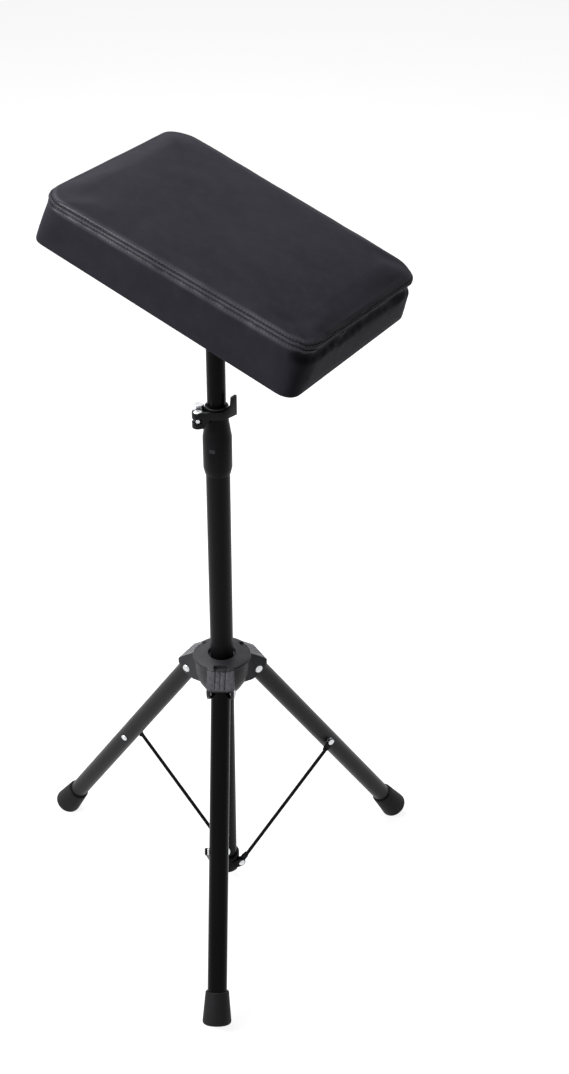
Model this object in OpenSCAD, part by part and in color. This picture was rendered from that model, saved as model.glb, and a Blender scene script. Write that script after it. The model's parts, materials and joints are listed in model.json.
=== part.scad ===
// Arm rest stand: a crowned cushion on a telescopic mast with a folding tripod.
// Origin: on the floor, under the axis of the mast. +Z is up, and +X runs along
// the cushion towards the end that hangs lower.

/* [Cushion] */
// Length of the cushion at its seam
pad_l = 363; // [300:1:420]
// Width of the cushion at its seam
pad_w = 259; // [210:1:300]
// Height of the side band, from the bottom edge up to the seam
side_h = 61; // [48:1:80]
// Rise of the crowned top above the seam
crown_h = 16; // [10:1:22]
// Radius of the cushion's corners, seen from above
pad_corner_r = 25; // [16:1:34]
// How far the sides draw in between the corners
draw_in = 1; // [1:0.5:7]
// How far the bottom edge stands out past the seam
pad_flare = 0; // [0:0.5:3]
// Radius of the cushion's bottom edge
pad_edge_r = 2; // [1.5:0.5:4]
// Thickness of the cover
cover_t = 1.4; // [1:0.1:2.4]
// Width of the cover's hem, folded under the board
hem_w = 30; // [20:1:40]
// Thickness of the plywood board
board_t = 12; // [9:1:18]
// Thickness of the dust cloth under the board
cloth_t = 0.8; // [0.5:0.1:1.5]
// Offset of the cushion across the bracket
pad_shift = 4; // [0:1:12]
// Width of a staple's crown
staple_w = 10; // [8:1:14]
// Number of staples along a long side
staples_long = 8; // [4:1:12]
// Number of staples along a short side
staples_short = 5; // [3:1:8]

/* [Tilt joint] */
// Tilt of the cushion at rest, in degrees
rest_tilt = 18; // [0:1:50]
// Height of the cushion's bottom over the tilt axis
pad_over_axis = 29; // [26.5:0.5:40]
// Radius of the knuckle on the mast head
knuckle_r = 13; // [10:0.5:15]
// Width of the knuckle along the tilt axis
knuckle_w = 28; // [22:1:36]
// Thickness of the bracket's plate and cheeks
bracket_t = 3; // [2:0.5:4]
// Length of the bracket's plate along the cushion
plate_l = 120; // [90:1:160]
// Width of the bracket's plate across the cushion
plate_w = 80; // [64:1:110]
// Length of a cheek where it meets the plate
cheek_l = 70; // [50:1:84]
// Radius of the shoulder that the cheeks stop on
shoulder_r = 18; // [16:0.5:22]
// Thickness of that shoulder
shoulder_t = 4; // [3:0.5:6]
// Length of the mast head's plug inside the tube
head_plug_l = 40; // [25:1:60]
// Diameter of the tilt bolt
tilt_bolt_d = 8; // [6:0.5:10]
// Diameter of the tilt knob
tilt_knob_d = 44; // [36:1:46]
// Height of the tilt knob
tilt_knob_h = 20; // [14:1:28]

/* [Mast] */
// Outside diameter of the outer tube
outer_d = 30; // [28:0.5:32]
// Wall of both mast tubes
tube_t = 1.2; // [1:0.1:1.5]
// Length of the outer tube
outer_len = 704; // [600:1:780]
// Height of the outer tube's lower end over the floor
mast_foot_z = 20; // [10:1:30]
// Outside diameter of the inner tube
inner_d = 23; // [21:0.5:24]
// Length of the inner tube
inner_len = 430; // [350:1:520]
// Length of inner tube that shows over the collar
shown_len = 118; // [100:1:200]
// Length of the guide bush on the inner tube's lower end
guide_l = 40; // [25:1:60]

/* [Clamp] */
// Outside diameter of the collar
collar_d = 36; // [35:0.5:42]
// Length of the collar below the outer tube's top
collar_grip = 52; // [40:1:70]
// Length of the collar above the outer tube's top
collar_rise = 42; // [40:1:55]
// Wall of the collar's neck
neck_t = 2.8; // [2:0.1:3.5]
// Thickness of one clamp ear
ear_t = 6; // [4.5:0.5:8]
// Height of the clamp ears
ear_h = 20; // [17:0.5:21]
// Reach of the clamp ears from the mast axis
ear_reach = 30; // [28.5:0.5:34]
// Width of the slot between the ears
ear_slot = 2; // [1:0.2:3]
// Diameter of the lever's barrel pin
barrel_d = 10.5; // [9:0.5:12]
// Diameter of the clamp bolt
clamp_bolt_d = 5; // [4:0.5:5.5]
// Thickness of the lever's arm
lever_t = 4; // [3:0.5:4.5]
// Height of the lever's arm
lever_h = 9.5; // [7:0.5:11]
// Height of the lever's thumb tip
lever_tip_h = 26; // [20:1:32]

/* [Tripod] */
// Angle of an open leg from the vertical, in degrees
leg_angle = 34; // [28:0.5:38]
// Outside diameter of a leg
leg_d = 25.4; // [22:0.2:26]
// Wall of a leg
leg_t = 1.2; // [1:0.1:2]
// Length of a leg from its pin to the end of its foot
leg_len = 429; // [380:1:480]
// Distance of the leg pins from the mast axis
pivot_r = 46; // [45:0.5:50]
// Place of a leg's rivet, as a share of the leg's length from its pin
rivet_share = 0.48; // [0.4:0.01:0.52]
// Turn of the tripod under the cushion, in degrees
base_turn = 1; // [-30:1:30]
// Diameter of a foot at its floor end
foot_d = 37.6; // [32:0.2:42]
// Diameter of a foot at its upper rim
foot_top_d = 30.8; // [29.6:0.2:34]
// Height of a foot
foot_h = 43; // [32:1:55]
// Rubber under the end of the leg
foot_floor_t = 7; // [5:0.5:10]

/* [Hub] */
// Radius of the hub's top disc
hub_r = 38.5; // [38.5:0.5:45]
// Height of the hub's top disc over the leg pins
hub_top = 32; // [30:0.5:37]
// Depth of the hub's bowl under the leg pins
hub_drop = 31; // [24:0.5:36]
// Thickness of an arm's cheek
cheek_t = 4.5; // [3.5:0.1:6]
// Diameter of a leg pin
leg_pin_d = 6; // [5:0.5:7]
// Diameter of the hub's clamping knob
hub_knob_d = 34; // [28:1:38]
// Height of that knob
hub_knob_h = 18; // [14:1:24]
// Diameter of the clamping screw
hub_screw_d = 8; // [6:0.5:8]

/* [Braces] */
// Diameter of a brace rod
brace_d = 5; // [4:0.2:6]
// Thickness of a brace's flattened ends
brace_flat_t = 3; // [2.5:0.1:3.5]
// Width of those ends
brace_eye_d = 9; // [8.5:0.5:10.5]
// Height of the lower bracket's pins over the floor
low_z = 32; // [28:0.5:50]
// Distance of those pins from the mast axis
low_r = 14.5; // [14:0.5:19]
// Height of the lower bracket's ring
ring_h = 24; // [18:0.5:26]
// Wall of that ring
ring_t = 3.5; // [2.5:0.1:4]
// Diameter of the brace rivets and pins
brace_pin_d = 5; // [4:0.2:6]
// Washer between a leg and its brace
spacer_t = 2; // [1:0.1:3]

/* [Hidden] */
$fn = 64;

// Clearances and overruns
fit = 0.05;          // radial clearance of a turning or sliding fit
gap = 0.3;           // space between neighbours that move apart
seat = 0.02;         // space round a piece that is fixed in its seat
cut = 2;             // overrun of a cut
step = 1;            // smallest lip, land or chamfer

// Colours
black_steel = "#1c1b1f";
soft_black = "#2b2a2f";
grey_black = "#45444a";
leather = "#37363c";
zinc = "#b9bcc0";
wood = "#b08d5b";
foam_tint = "#d9cf9c";

// Heights along the mast
outer_top = mast_foot_z + outer_len;
collar_base = outer_top - collar_grip;
collar_top = outer_top + collar_rise;
head_seat_z = collar_top + shown_len;
head_gap = 2;        // space between the shoulder and the knuckle's lowest point
tilt_z = head_seat_z + shoulder_t + knuckle_r + head_gap;
inner_base = head_seat_z - inner_len;
tube_bore = outer_d - 2*tube_t;
inner_bore = inner_d - 2*tube_t;

// Tripod: the feet's rims reach the floor at the leg angle
foot_round = 4;
foot_patch = 0.8;    // depth of the flat where a foot meets the floor
hub_z = (leg_len - foot_round)*cos(leg_angle) + (foot_d/2 - foot_round)*sin(leg_angle)
        + foot_round - foot_patch;
leg_azimuths = [base_turn - 60, base_turn + 60, base_turn + 180];
leg_top = 8;         // length of a leg above its pin
leg_side = leg_d/2 + spacer_t + gap;
brace_y = leg_side + brace_flat_t/2;
rivet_down = rivet_share*leg_len;
rivet_x = pivot_r + rivet_down*sin(leg_angle);
rivet_z = hub_z - rivet_down*cos(leg_angle);
brace_len = norm([rivet_x - low_r, rivet_z - low_z]);
brace_rise = atan2(rivet_z - low_z, rivet_x - low_r);

// Draws its children in a leg's upright plane: X outwards, Y anticlockwise seen from above
module in_leg_plane(i) rotate([0, 0, leg_azimuths[i]]) children();

// Draws its children along a leg, with the pin at the origin and the foot towards -Z
module on_leg(i) in_leg_plane(i) translate([pivot_r, 0, hub_z]) rotate([0, -leg_angle, 0]) children();

// Draws its children along a brace, with its lower pin at the origin and the leg towards +X
module on_brace(i)
    in_leg_plane(i) translate([low_r, -brace_y, low_z]) rotate([0, -brace_rise, 0]) children();

// A cylinder along +Y from y0 to y1
module rod_y(d, y0, y1) translate([0, y0, 0]) rotate([-90, 0, 0]) cylinder(d = d, h = y1 - y0);

// A flat-based domed rivet head on the plane y = 0, towards +Y
module head_y(d, h) rotate([-90, 0, 0]) rotate_extrude() {
    r = (pow(d/2, 2) + h*h)/(2*h);
    intersection() {
        translate([0, h - r]) circle(r = r);
        square([d/2, h]);
    }
}

// The head of a rivet with the shank diameter d
head_d_share = 1.8;  // diameter of a rivet's head as a share of its shank
head_h_share = 0.4;  // height of that head as a share of its shank
module rivet_head(d) head_y(head_d_share*d, head_h_share*d);

// A rounded rectangle, centred, made of plain squares and circles
module rounded(l, w, r) {
    square([l - 2*r, w], center = true);
    square([l, w - 2*r], center = true);
    for (x = [-1, 1], y = [-1, 1]) translate([x*(l/2 - r), y*(w/2 - r)]) circle(r = r);
}

// A knob with rounded lobes: axis Z, base at z = 0
lobe_share = 0.17;   // radius of a knob's lobe as a share of the knob's diameter
module lobed_knob(d, h, lobes, bore) {
    lobe_r = d*lobe_share;
    difference() {
        union() {
            cylinder(d = d - 2*lobe_r, h = h);
            for (i = [0:lobes - 1]) rotate([0, 0, i*360/lobes])
                translate([d/2 - lobe_r, 0, 0]) {
                    cylinder(r = lobe_r, h = h - step);
                    translate([0, 0, h - step]) cylinder(r1 = lobe_r, r2 = lobe_r - step, h = step);
                }
        }
        translate([0, 0, -cut]) cylinder(d = bore, h = h + 2*cut);
    }
}

// Mast

module outer_tube() {
    color(black_steel)
    difference() {
        translate([0, 0, mast_foot_z]) cylinder(d = outer_d, h = outer_len);
        translate([0, 0, mast_foot_z - cut]) cylinder(d = tube_bore, h = outer_len + 2*cut);
        in_clamp() bush_tab(tab_w + 2*gap, tab_h + 2*gap, collar_d);
    }
}

plug_l = 15;
plug_flange = 3;
plug_wall = 2;

module tube_end_plug() {
    color(soft_black)
    translate([0, 0, mast_foot_z])
    difference() {
        union() {
            mirror([0, 0, 1]) cylinder(d1 = outer_d, d2 = outer_d - plug_flange, h = plug_flange);
            cylinder(d = tube_bore - 2*seat, h = plug_l);
        }
        cylinder(d = tube_bore - 2*plug_wall, h = plug_l + cut);
    }
}

fork_r = 5.5;        // radius of a fork's round end
fork_t = 2.6;        // thickness of a fork's plates
fork_root = low_r - brace_eye_d/2 - step;
fork_in = brace_flat_t/2 + gap;
fork_out = fork_in + fork_t;

module lower_bracket() {
    color(soft_black)
    difference() {
        union() {
            translate([0, 0, low_z - ring_h/2]) cylinder(d = outer_d + 2*ring_t, h = ring_h);
            for (i = [0:2]) in_leg_plane(i)
                translate([0, -brace_y, low_z]) {
                    translate([low_r, 0, 0]) rod_y(2*fork_r, -fork_out, fork_out);
                    translate([0, -fork_out, -fork_r]) cube([low_r, 2*fork_out, 2*fork_r]);
                }
        }
        translate([0, 0, low_z - ring_h]) cylinder(d = outer_d + 2*seat, h = 2*ring_h);
        for (i = [0:2]) in_leg_plane(i)
            translate([0, -brace_y, low_z]) {
                translate([fork_root, -fork_in, -ring_h]) cube([low_r, 2*fork_in, 2*ring_h]);
                translate([low_r, 0, 0]) rod_y(brace_pin_d + 2*seat, -fork_out - cut, fork_out - step);
            }
    }
}

module bracket_pins() {
    color(zinc)
    for (i = [0:2]) in_leg_plane(i)
        translate([low_r, -brace_y, low_z]) {
            rod_y(brace_pin_d, -fork_out, fork_out - step);
            mirror([0, 1, 0]) translate([0, fork_out, 0]) rivet_head(brace_pin_d);
        }
}

// Clamp: in its frame X points through the ears and Y towards the lever's arm

clamp_turn = 214;    // direction of the ears, in degrees
module in_clamp() rotate([0, 0, clamp_turn]) children();

bush_l = 30;         // length of the bush inside the outer tube
bush_flange_t = 2;   // thickness of the flange that rests on the tube's end
neck_r = inner_d/2 + gap + neck_t;
cone_len = 22;       // length of the collar's taper
cone_base = outer_top - step;
cone_top = cone_base + cone_len;
ear_drop = 2;        // distance of the ears from the collar's top
ear_base = collar_top - ear_drop - ear_h;
ear_mid = ear_base + ear_h/2;
cam_wall = 2;
cam_r = barrel_d/2 + cam_wall;
barrel_x = ear_reach - cam_r;
barrel_y = ear_slot/2 + ear_t + gap + cam_r;
tab_w = 8;
tab_h = 5;
tab_turn = 68;       // direction of the bush's tab, in degrees from the ears
tab_depth = 14;      // distance of the tab below the outer tube's top
tab_z = outer_top - tab_depth;
socket_chamfer = 9;  // height of the taper at the collar's lower end

// The block that the bush's tab fills, from the bush out to the radius r
module bush_tab(w, h, r)
    rotate([0, 0, tab_turn]) translate([tube_bore/2 - cut, -w/2, tab_z - h/2])
        cube([r - tube_bore/2 + cut, w, h]);

// Cap on the ears, as wide as they are, with a peg in the ear that lies away from the lever
ear_cap_d = ear_slot + 2*ear_t;
ear_cap_sink = 4;    // height of the cap below the lever's barrel top
ear_cap_rise = 3;    // height of the cap above it
ear_cap_x = ear_reach - step - ear_cap_d/2;
ear_cap_base = ear_base + ear_h - ear_cap_sink;
ear_peg_d = 3;
ear_peg_l = 2.5;
module on_ear_peg()
    translate([ear_cap_x, -(ear_slot + ear_t)/2, ear_cap_base - ear_peg_l]) children();

module ear_cap() {
    color(zinc)
    in_clamp() {
        on_ear_peg() cylinder(d = ear_peg_d, h = ear_peg_l + step);
        translate([ear_cap_x, 0, ear_cap_base]) {
            cylinder(d = ear_cap_d, h = ear_cap_sink + ear_cap_rise - step);
            translate([0, 0, ear_cap_sink + ear_cap_rise - step])
                cylinder(d1 = ear_cap_d, d2 = ear_cap_d - 2*step, h = step);
        }
    }
}

module clamp_collar() {
    color(soft_black)
    in_clamp()
    difference() {
        union() {
            rotate_extrude() polygon([
                [inner_d/2 + gap, outer_top + bush_flange_t], [outer_d/2 + seat, outer_top + bush_flange_t],
                [outer_d/2 + seat, collar_base], [outer_d/2 + step, collar_base],
                [collar_d/2, collar_base + socket_chamfer], [collar_d/2, cone_base],
                [neck_r, cone_top], [neck_r, collar_top - step], [neck_r - step, collar_top],
                [inner_d/2 + gap, collar_top]]);
            translate([0, -ear_slot/2 - ear_t, ear_base])
                cube([ear_reach - step, ear_slot + 2*ear_t, ear_h - ear_cap_sink]);
        }
        translate([0, 0, outer_top + bush_flange_t]) cylinder(r = inner_d/2 + gap, h = collar_rise);
        translate([0, -ear_slot/2, cone_top - ear_slot]) cube([ear_reach + cut, ear_slot, collar_rise]);
        translate([barrel_x, 0, ear_mid]) rod_y(clamp_bolt_d + 2*seat, -ear_reach, ear_reach);
        on_ear_peg() cylinder(d = ear_peg_d + 2*seat, h = ear_peg_l + cut);
        bush_tab(tab_w + 2*seat, tab_h + 2*seat, collar_d);
    }
}

module collar_bush() {
    color(grey_black)
    difference() {
        union() {
            translate([0, 0, outer_top - bush_l]) cylinder(d = tube_bore - 2*seat, h = bush_l);
            translate([0, 0, outer_top]) cylinder(d = outer_d, h = bush_flange_t);
            in_clamp() bush_tab(tab_w, tab_h, collar_d/2);
        }
        translate([0, 0, outer_top - bush_l - cut])
            cylinder(d = inner_d + 2*fit, h = bush_l + bush_flange_t + 2*cut);
    }
}

module barrel_pin() {
    color(zinc)
    in_clamp()
    translate([barrel_x, barrel_y, ear_base])
    difference() {
        cylinder(d = barrel_d, h = ear_h);
        translate([0, 0, ear_h/2]) rod_y(clamp_bolt_d + 2*seat, -barrel_d, barrel_d);
    }
}

clamp_washer_d = 14;
clamp_washer_t = 1.2;
clamp_nut_d = 10;
clamp_nut_h = 5;
clamp_bolt_end = barrel_y + barrel_d/2 + step;

module clamp_bolt() {
    color(zinc)
    in_clamp()
    translate([barrel_x, 0, ear_mid])
        rod_y(clamp_bolt_d, -ear_slot/2 - ear_t - clamp_washer_t - clamp_nut_h - step, clamp_bolt_end);
}

module clamp_nut() {
    color(zinc)
    in_clamp()
    translate([barrel_x, -ear_slot/2 - ear_t, ear_mid])
    difference() {
        union() {
            rod_y(clamp_washer_d, -clamp_washer_t, 0);
            translate([0, -clamp_washer_t, 0]) rotate([90, 0, 0])
                cylinder(d = clamp_nut_d, h = clamp_nut_h, $fn = 6);
        }
        rod_y(clamp_bolt_d + 2*seat, -clamp_nut_d - clamp_washer_d, cut);
    }
}

lever_gap = 2;       // space between the neck and the lever's arm
arm_in = neck_r + lever_gap;
arm_out = arm_in + lever_t;
arm_turn = 135;      // direction where the arm leaves the neck, in degrees
tip_l = 14;          // length of the arm past that place
tip_x = arm_in*cos(arm_turn) - tip_l*sin(arm_turn) - lever_t;
tip_w = 9;           // width of the thumb tip's top edge
tip_fall = 2;        // fall of that edge
slope_share = 0.62;  // where the top edge starts to rise, as a share of the tip's distance
lever_top = collar_top - step;

// Plan of the lever's arm: straight past the ears, round the neck, then off along a tangent
module lever_plan() {
    difference() {
        intersection() {
            circle(r = arm_out);
            polygon([[0, 0], [0, 2*arm_out], [2*arm_out*cos(arm_turn), 2*arm_out],
                     [2*arm_out*cos(arm_turn), 2*arm_out*sin(arm_turn)]]);
        }
        circle(r = arm_in);
    }
    translate([0, arm_in]) square([barrel_x, lever_t]);
    rotate(arm_turn) translate([arm_in, 0]) square([lever_t, tip_l]);
}

// Side outline of the lever: deep at the cam, slim round the neck, tall at the thumb tip
module lever_side() {
    arm_base = lever_top - lever_h;
    tip_top = arm_base + lever_tip_h;
    slope_x = tip_x*slope_share;
    polygon([[ear_reach, ear_base], [barrel_x - cam_r, ear_base], [barrel_x - 2*cam_r, arm_base],
             [tip_x, arm_base - step], [tip_x - step, tip_top], [tip_x + tip_w, tip_top - tip_fall],
             [slope_x, lever_top + lever_t], [slope_x*slope_share, lever_top],
             [barrel_x, lever_top], [ear_reach, ear_base + ear_h]]);
}

module clamp_lever() {
    color(soft_black)
    in_clamp()
    difference() {
        union() {
            intersection() {
                linear_extrude(height = 2*collar_top) lever_plan();
                rotate([90, 0, 0]) translate([0, 0, -2*collar_d])
                    linear_extrude(height = 4*collar_d) lever_side();
            }
            translate([barrel_x, barrel_y, ear_base]) cylinder(r = cam_r, h = ear_h);
        }
        translate([barrel_x, barrel_y, ear_base - cut]) cylinder(d = barrel_d + 2*fit, h = 2*ear_h);
        translate([barrel_x, barrel_y, ear_mid - clamp_bolt_d/2 - gap])
            cylinder(r = cam_r + gap, h = clamp_bolt_d + 2*gap);
    }
}

// Sliding part of the mast

module guide_bush() {
    color(grey_black)
    translate([0, 0, inner_base])
    difference() {
        translate([0, 0, -plug_flange]) cylinder(d = tube_bore - 2*fit, h = guide_l + plug_flange);
        cylinder(d = inner_d + 2*fit, h = guide_l + cut);
        translate([0, 0, -plug_flange - cut]) cylinder(d = inner_bore - plug_wall, h = guide_l);
    }
}

head_rivet_d = 5;
head_rivet_z = head_seat_z - head_plug_l/2;

module inner_tube() {
    color(black_steel)
    difference() {
        translate([0, 0, inner_base + seat]) cylinder(d = inner_d, h = inner_len - seat);
        translate([0, 0, inner_base - cut]) cylinder(d = inner_bore, h = inner_len + 2*cut);
        translate([0, 0, head_rivet_z]) rod_y(head_rivet_d + 2*seat, -inner_d, inner_d);
    }
}

module tilt_head() {
    color(soft_black)
    difference() {
        union() {
            translate([0, 0, head_seat_z - head_plug_l]) cylinder(d = inner_bore - 2*seat, h = head_plug_l);
            translate([0, 0, head_seat_z]) cylinder(r = shoulder_r, h = shoulder_t);
            translate([-knuckle_r, -knuckle_w/2, head_seat_z])
                cube([2*knuckle_r, knuckle_w, tilt_z - head_seat_z]);
            translate([0, 0, tilt_z]) rod_y(2*knuckle_r, -knuckle_w/2, knuckle_w/2);
        }
        translate([0, 0, tilt_z]) rod_y(tilt_bolt_d + 2*fit, -knuckle_w, knuckle_w);
        translate([0, 0, head_rivet_z]) rod_y(head_rivet_d + 2*seat, -inner_d, inner_d);
    }
}

module head_rivet() {
    color(zinc)
    translate([0, 0, head_rivet_z]) rod_y(head_rivet_d, -inner_d/2, inner_d/2);
}

// Cushion: drawn level over the tilt axis, then turned to its rest tilt

module on_tilt() translate([0, 0, tilt_z]) rotate([0, rest_tilt, 0]) children();

plate_z = pad_over_axis - cloth_t - bracket_t;
cheek_y = knuckle_w/2 + gap;
cheek_r = knuckle_r + step;
plate_corner = 10;
screw_d = 5;
screw_inset = 14;
screw_l = 10;        // length of a screw inside the board
screw_lip = 1;       // how far a screw's head stands out past its shank at the edge
screw_places = [for (x = [-1, 1], y = [-1, 1]) [x*(plate_l/2 - screw_inset), y*(plate_w/2 - screw_inset)]];

module pad_bracket() {
    color(soft_black)
    on_tilt()
    difference() {
        union() {
            translate([0, 0, plate_z]) linear_extrude(height = bracket_t)
                rounded(plate_l, plate_w, plate_corner);
            for (side = [0, 1]) mirror([0, side, 0]) translate([0, cheek_y, 0]) {
                rod_y(2*cheek_r, 0, bracket_t);
                translate([0, bracket_t, 0]) rotate([90, 0, 0]) linear_extrude(height = bracket_t)
                    polygon([[-cheek_r, 0], [cheek_r, 0],
                             [cheek_l/2, plate_z + step], [-cheek_l/2, plate_z + step]]);
            }
        }
        rod_y(tilt_bolt_d + 2*seat, -plate_w, plate_w);
        for (p = screw_places) translate([p[0], p[1], plate_z - cut])
            cylinder(d = screw_d + 2*fit, h = bracket_t + 2*cut);
    }
}

screw_head_share = 0.6; // height of a screw's head as a share of its shank

module bracket_screws() {
    color(zinc)
    on_tilt()
    for (p = screw_places) translate([p[0], p[1], 0]) {
        translate([0, 0, plate_z]) cylinder(d = screw_d, h = bracket_t + cloth_t + cover_t + screw_l);
        translate([0, 0, plate_z]) mirror([0, 0, 1])
            cylinder(d1 = 2*screw_d, d2 = screw_d + 2*screw_lip, h = screw_head_share*screw_d);
    }
}

washer_t = 1.6;
tilt_stack = cheek_y + bracket_t + washer_t;
bolt_tail = tilt_stack + gap + tilt_knob_h - cut;

module tilt_bolt() {
    color(zinc)
    on_tilt() {
        rod_y(tilt_bolt_d, -cheek_y - bracket_t, bolt_tail);
        translate([0, -cheek_y - bracket_t, 0]) mirror([0, 1, 0]) head_y(2*tilt_bolt_d, tilt_bolt_d/2);
    }
}

module tilt_washers() {
    color(zinc)
    on_tilt() translate([0, cheek_y + bracket_t, 0])
    difference() {
        rod_y(2*tilt_bolt_d, 0, washer_t);
        rod_y(tilt_bolt_d + 2*seat, -cut, washer_t + cut);
    }
}

insert_d = 13;
insert_h = 10;

module tilt_knob() {
    color(soft_black)
    on_tilt() translate([0, tilt_stack + gap, 0]) rotate([-90, 0, 0])
    difference() {
        lobed_knob(tilt_knob_d, tilt_knob_h, 6, tilt_bolt_d + 2*fit);
        translate([0, 0, -cut]) cylinder(d = insert_d + 2*seat, h = insert_h + cut);
    }
}

module knob_insert() {
    color(zinc)
    on_tilt() translate([0, tilt_stack + gap, 0]) rotate([-90, 0, 0])
    difference() {
        cylinder(d = insert_d, h = insert_h);
        translate([0, 0, -cut]) cylinder(d = tilt_bolt_d + 2*fit, h = insert_h + 2*cut);
    }
}

// One closed line round the cushion: four corner arcs, and between them sides that draw in.
// grow moves it outwards, draw is the draw-in at the middle of each side, and k scales it.
arc_steps = 4;
side_steps = 4;
function corner(i, l, w, r) = [(i == 0 || i == 3 ? 1 : -1)*(l/2 - r), (i < 2 ? 1 : -1)*(w/2 - r)];
function arc_point(i, j, l, w, r) =
    corner(i, l, w, r) + r*[cos(90*(i + j/arc_steps)), sin(90*(i + j/arc_steps))];
function side_point(i, j, l, w, r, draw) =
    let (a = arc_point(i, arc_steps, l, w, r), b = arc_point((i + 1) % 4, 0, l, w, r), t = j/side_steps)
    a + (b - a)*t - draw*sin(180*t)*[cos(90*(i + 1)), sin(90*(i + 1))];
function ring(l, w, r, grow, draw, k, z) = [
    for (i = [0:3]) each [
        for (j = [0:arc_steps]) [each k*arc_point(i, j, l + 2*grow, w + 2*grow, r + grow), z],
        for (j = [1:side_steps - 1]) [each k*side_point(i, j, l + 2*grow, w + 2*grow, r + grow, draw), z]]];

// Height of the crown over the seam, at a point of the ring with the share k of the plan.
// The crown falls off towards the corners.
function crown_rise(p, l, w, k) =
    crown_h*sqrt(1 - pow(k, crown_power))
    *(1 - corner_fall*k*pow(4*abs(p[0]*p[1])/(k*k*l*w), corner_power));
function crowned(q, l, w, k) = [for (p = q) [p[0], p[1], p[2] + crown_rise(p, l, w, k)]];

// Rings of the cushion: shares of its height with the flare and draw-in shares there,
// then shares of its plan with the crown rising over them
side_shares = [[0.05, 1, 0], [0.3, 0.3, 0.6], [0.55, -0.3, 1], [0.8, -0.2, 0.8], [1, 0, 0.3]];
crown_shares = [0.99, 0.96, 0.89, 0.75, 0.45];
crown_power = 5.4;
corner_fall = 0.84;
corner_power = 11;

// The cushion's solid, inset all round by t
module cushion_form(t) {
    l = pad_l - 2*t;
    w = pad_w - 2*t;
    r = pad_corner_r - t;
    h = side_h - t;
    seam_draw = side_shares[4][2]*draw_in;
    rings = [ring(l, w, r, pad_flare - pad_edge_r, 0, 1, t),
             for (s = side_shares) ring(l, w, r, s[1]*pad_flare, s[2]*draw_in, 1, max(t + step, s[0]*h)),
             for (k = crown_shares) crowned(ring(l, w, r, 0, seam_draw, k, h), l, w, k)];
    n = len(rings[0]);
    m = len(rings);
    points = [for (q = rings) each q, [0, 0, h + crown_h]];
    faces = [[for (i = [0:n - 1]) i],
             for (q = [0:m - 2], i = [0:n - 1]) each [
                 [q*n + i, (q + 1)*n + i, (q + 1)*n + (i + 1) % n],
                 [q*n + i, (q + 1)*n + (i + 1) % n, q*n + (i + 1) % n]],
             for (i = [0:n - 1]) [(m - 1)*n + i, m*n, (m - 1)*n + (i + 1) % n]];
    polyhedron(points, faces);
}

module on_pad() on_tilt() translate([0, pad_shift, pad_over_axis]) children();

board_inset = pad_edge_r + cover_t + step;

module pad_board() {
    color(wood)
    difference() {
        on_pad() translate([0, 0, cover_t]) linear_extrude(height = board_t)
            rounded(pad_l - 2*board_inset, pad_w - 2*board_inset, pad_corner_r - board_inset);
        on_tilt() for (p = screw_places) translate([p[0], p[1], plate_z])
            cylinder(d = screw_d + 2*seat, h = bracket_t + cloth_t + cover_t + screw_l + step);
    }
}

module pad_foam() {
    color(foam_tint)
    on_pad()
    intersection() {
        cushion_form(cover_t);
        translate([-pad_l, -pad_w, cover_t + board_t]) cube([2*pad_l, 2*pad_w, side_h + crown_h]);
    }
}

module pad_cover() {
    color(leather)
    on_pad()
    difference() {
        cushion_form(0);
        cushion_form(cover_t);
        translate([0, 0, -cut]) linear_extrude(height = 2*cut)
            rounded(pad_l - 2*hem_w, pad_w - 2*hem_w, pad_corner_r);
    }
}

cloth_lap = 14;      // how far the dust cloth laps over the hem

module dust_cloth() {
    color(soft_black)
    difference() {
        on_pad() {
            inner = hem_w - cloth_lap;
            translate([0, 0, -cloth_t]) linear_extrude(height = cloth_t)
                rounded(pad_l - 2*inner, pad_w - 2*inner, pad_corner_r - cloth_lap/2);
            linear_extrude(height = cover_t - seat)
                rounded(pad_l - 2*hem_w - step, pad_w - 2*hem_w - step, pad_corner_r - step/2);
        }
        on_tilt() for (p = screw_places) translate([p[0], p[1], 0])
            cylinder(d = screw_d + 2*fit, h = 2*pad_over_axis);
    }
}

staple_wire = 0.7;

// Place of the staple i of n along a side, in shares of half its length
function spread(i, n) = (2*i + 1 - n)/n;

module staples() {
    inner = hem_w - cloth_lap/2;
    reach_x = pad_l/2 - inner;
    reach_y = pad_w/2 - inner;
    color(zinc)
    on_pad() translate([0, 0, -cloth_t - staple_wire]) {
        for (i = [0:staples_long - 1], side = [-1, 1]) {
            x = spread(i, staples_long)*reach_x;
            translate([x - staple_w/2, side*reach_y - staple_wire/2, 0])
                cube([staple_w, staple_wire, staple_wire]);
        }
        for (i = [0:staples_short - 1], side = [-1, 1]) {
            y = spread(i, staples_short)*reach_y;
            translate([side*reach_x - staple_wire/2, y - staple_w/2, 0])
                cube([staple_wire, staple_w, staple_wire]);
        }
    }
}

// Hub

channel_w = leg_d + step;
arm_w = channel_w + 2*cheek_t;
channel_r = norm([leg_d/2, leg_top]) + 2*gap;
rib_d = 1.6;         // diameter of the grooves in an arm's roof
notch_w = 18;        // width of the notch where an arm meets the top disc
knob_turn = 120;     // direction of the clamping knob from the tripod's turn, in degrees
knob_z = -9;         // height of the clamping screw over the leg pins

// Outlines of the hub with the leg pins at z = 0, in shares of the disc's radius and of its
// height, and below the pins in shares of the bowl's depth
bowl_shares = [[0.46, 1], [0.5, 0.84], [0.66, 0.58], [0.8, 0.28]];
dome_shares = [[0.9, 0.1], [0.93, 0.6], [0.92, 0.86], [0.975, 0.88], [1, 0.92], [0.975, 1],
               [0.8, 1.03], [0.49, 1.06], [0.465, 1.04], [0.465, 0.9]];

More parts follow.
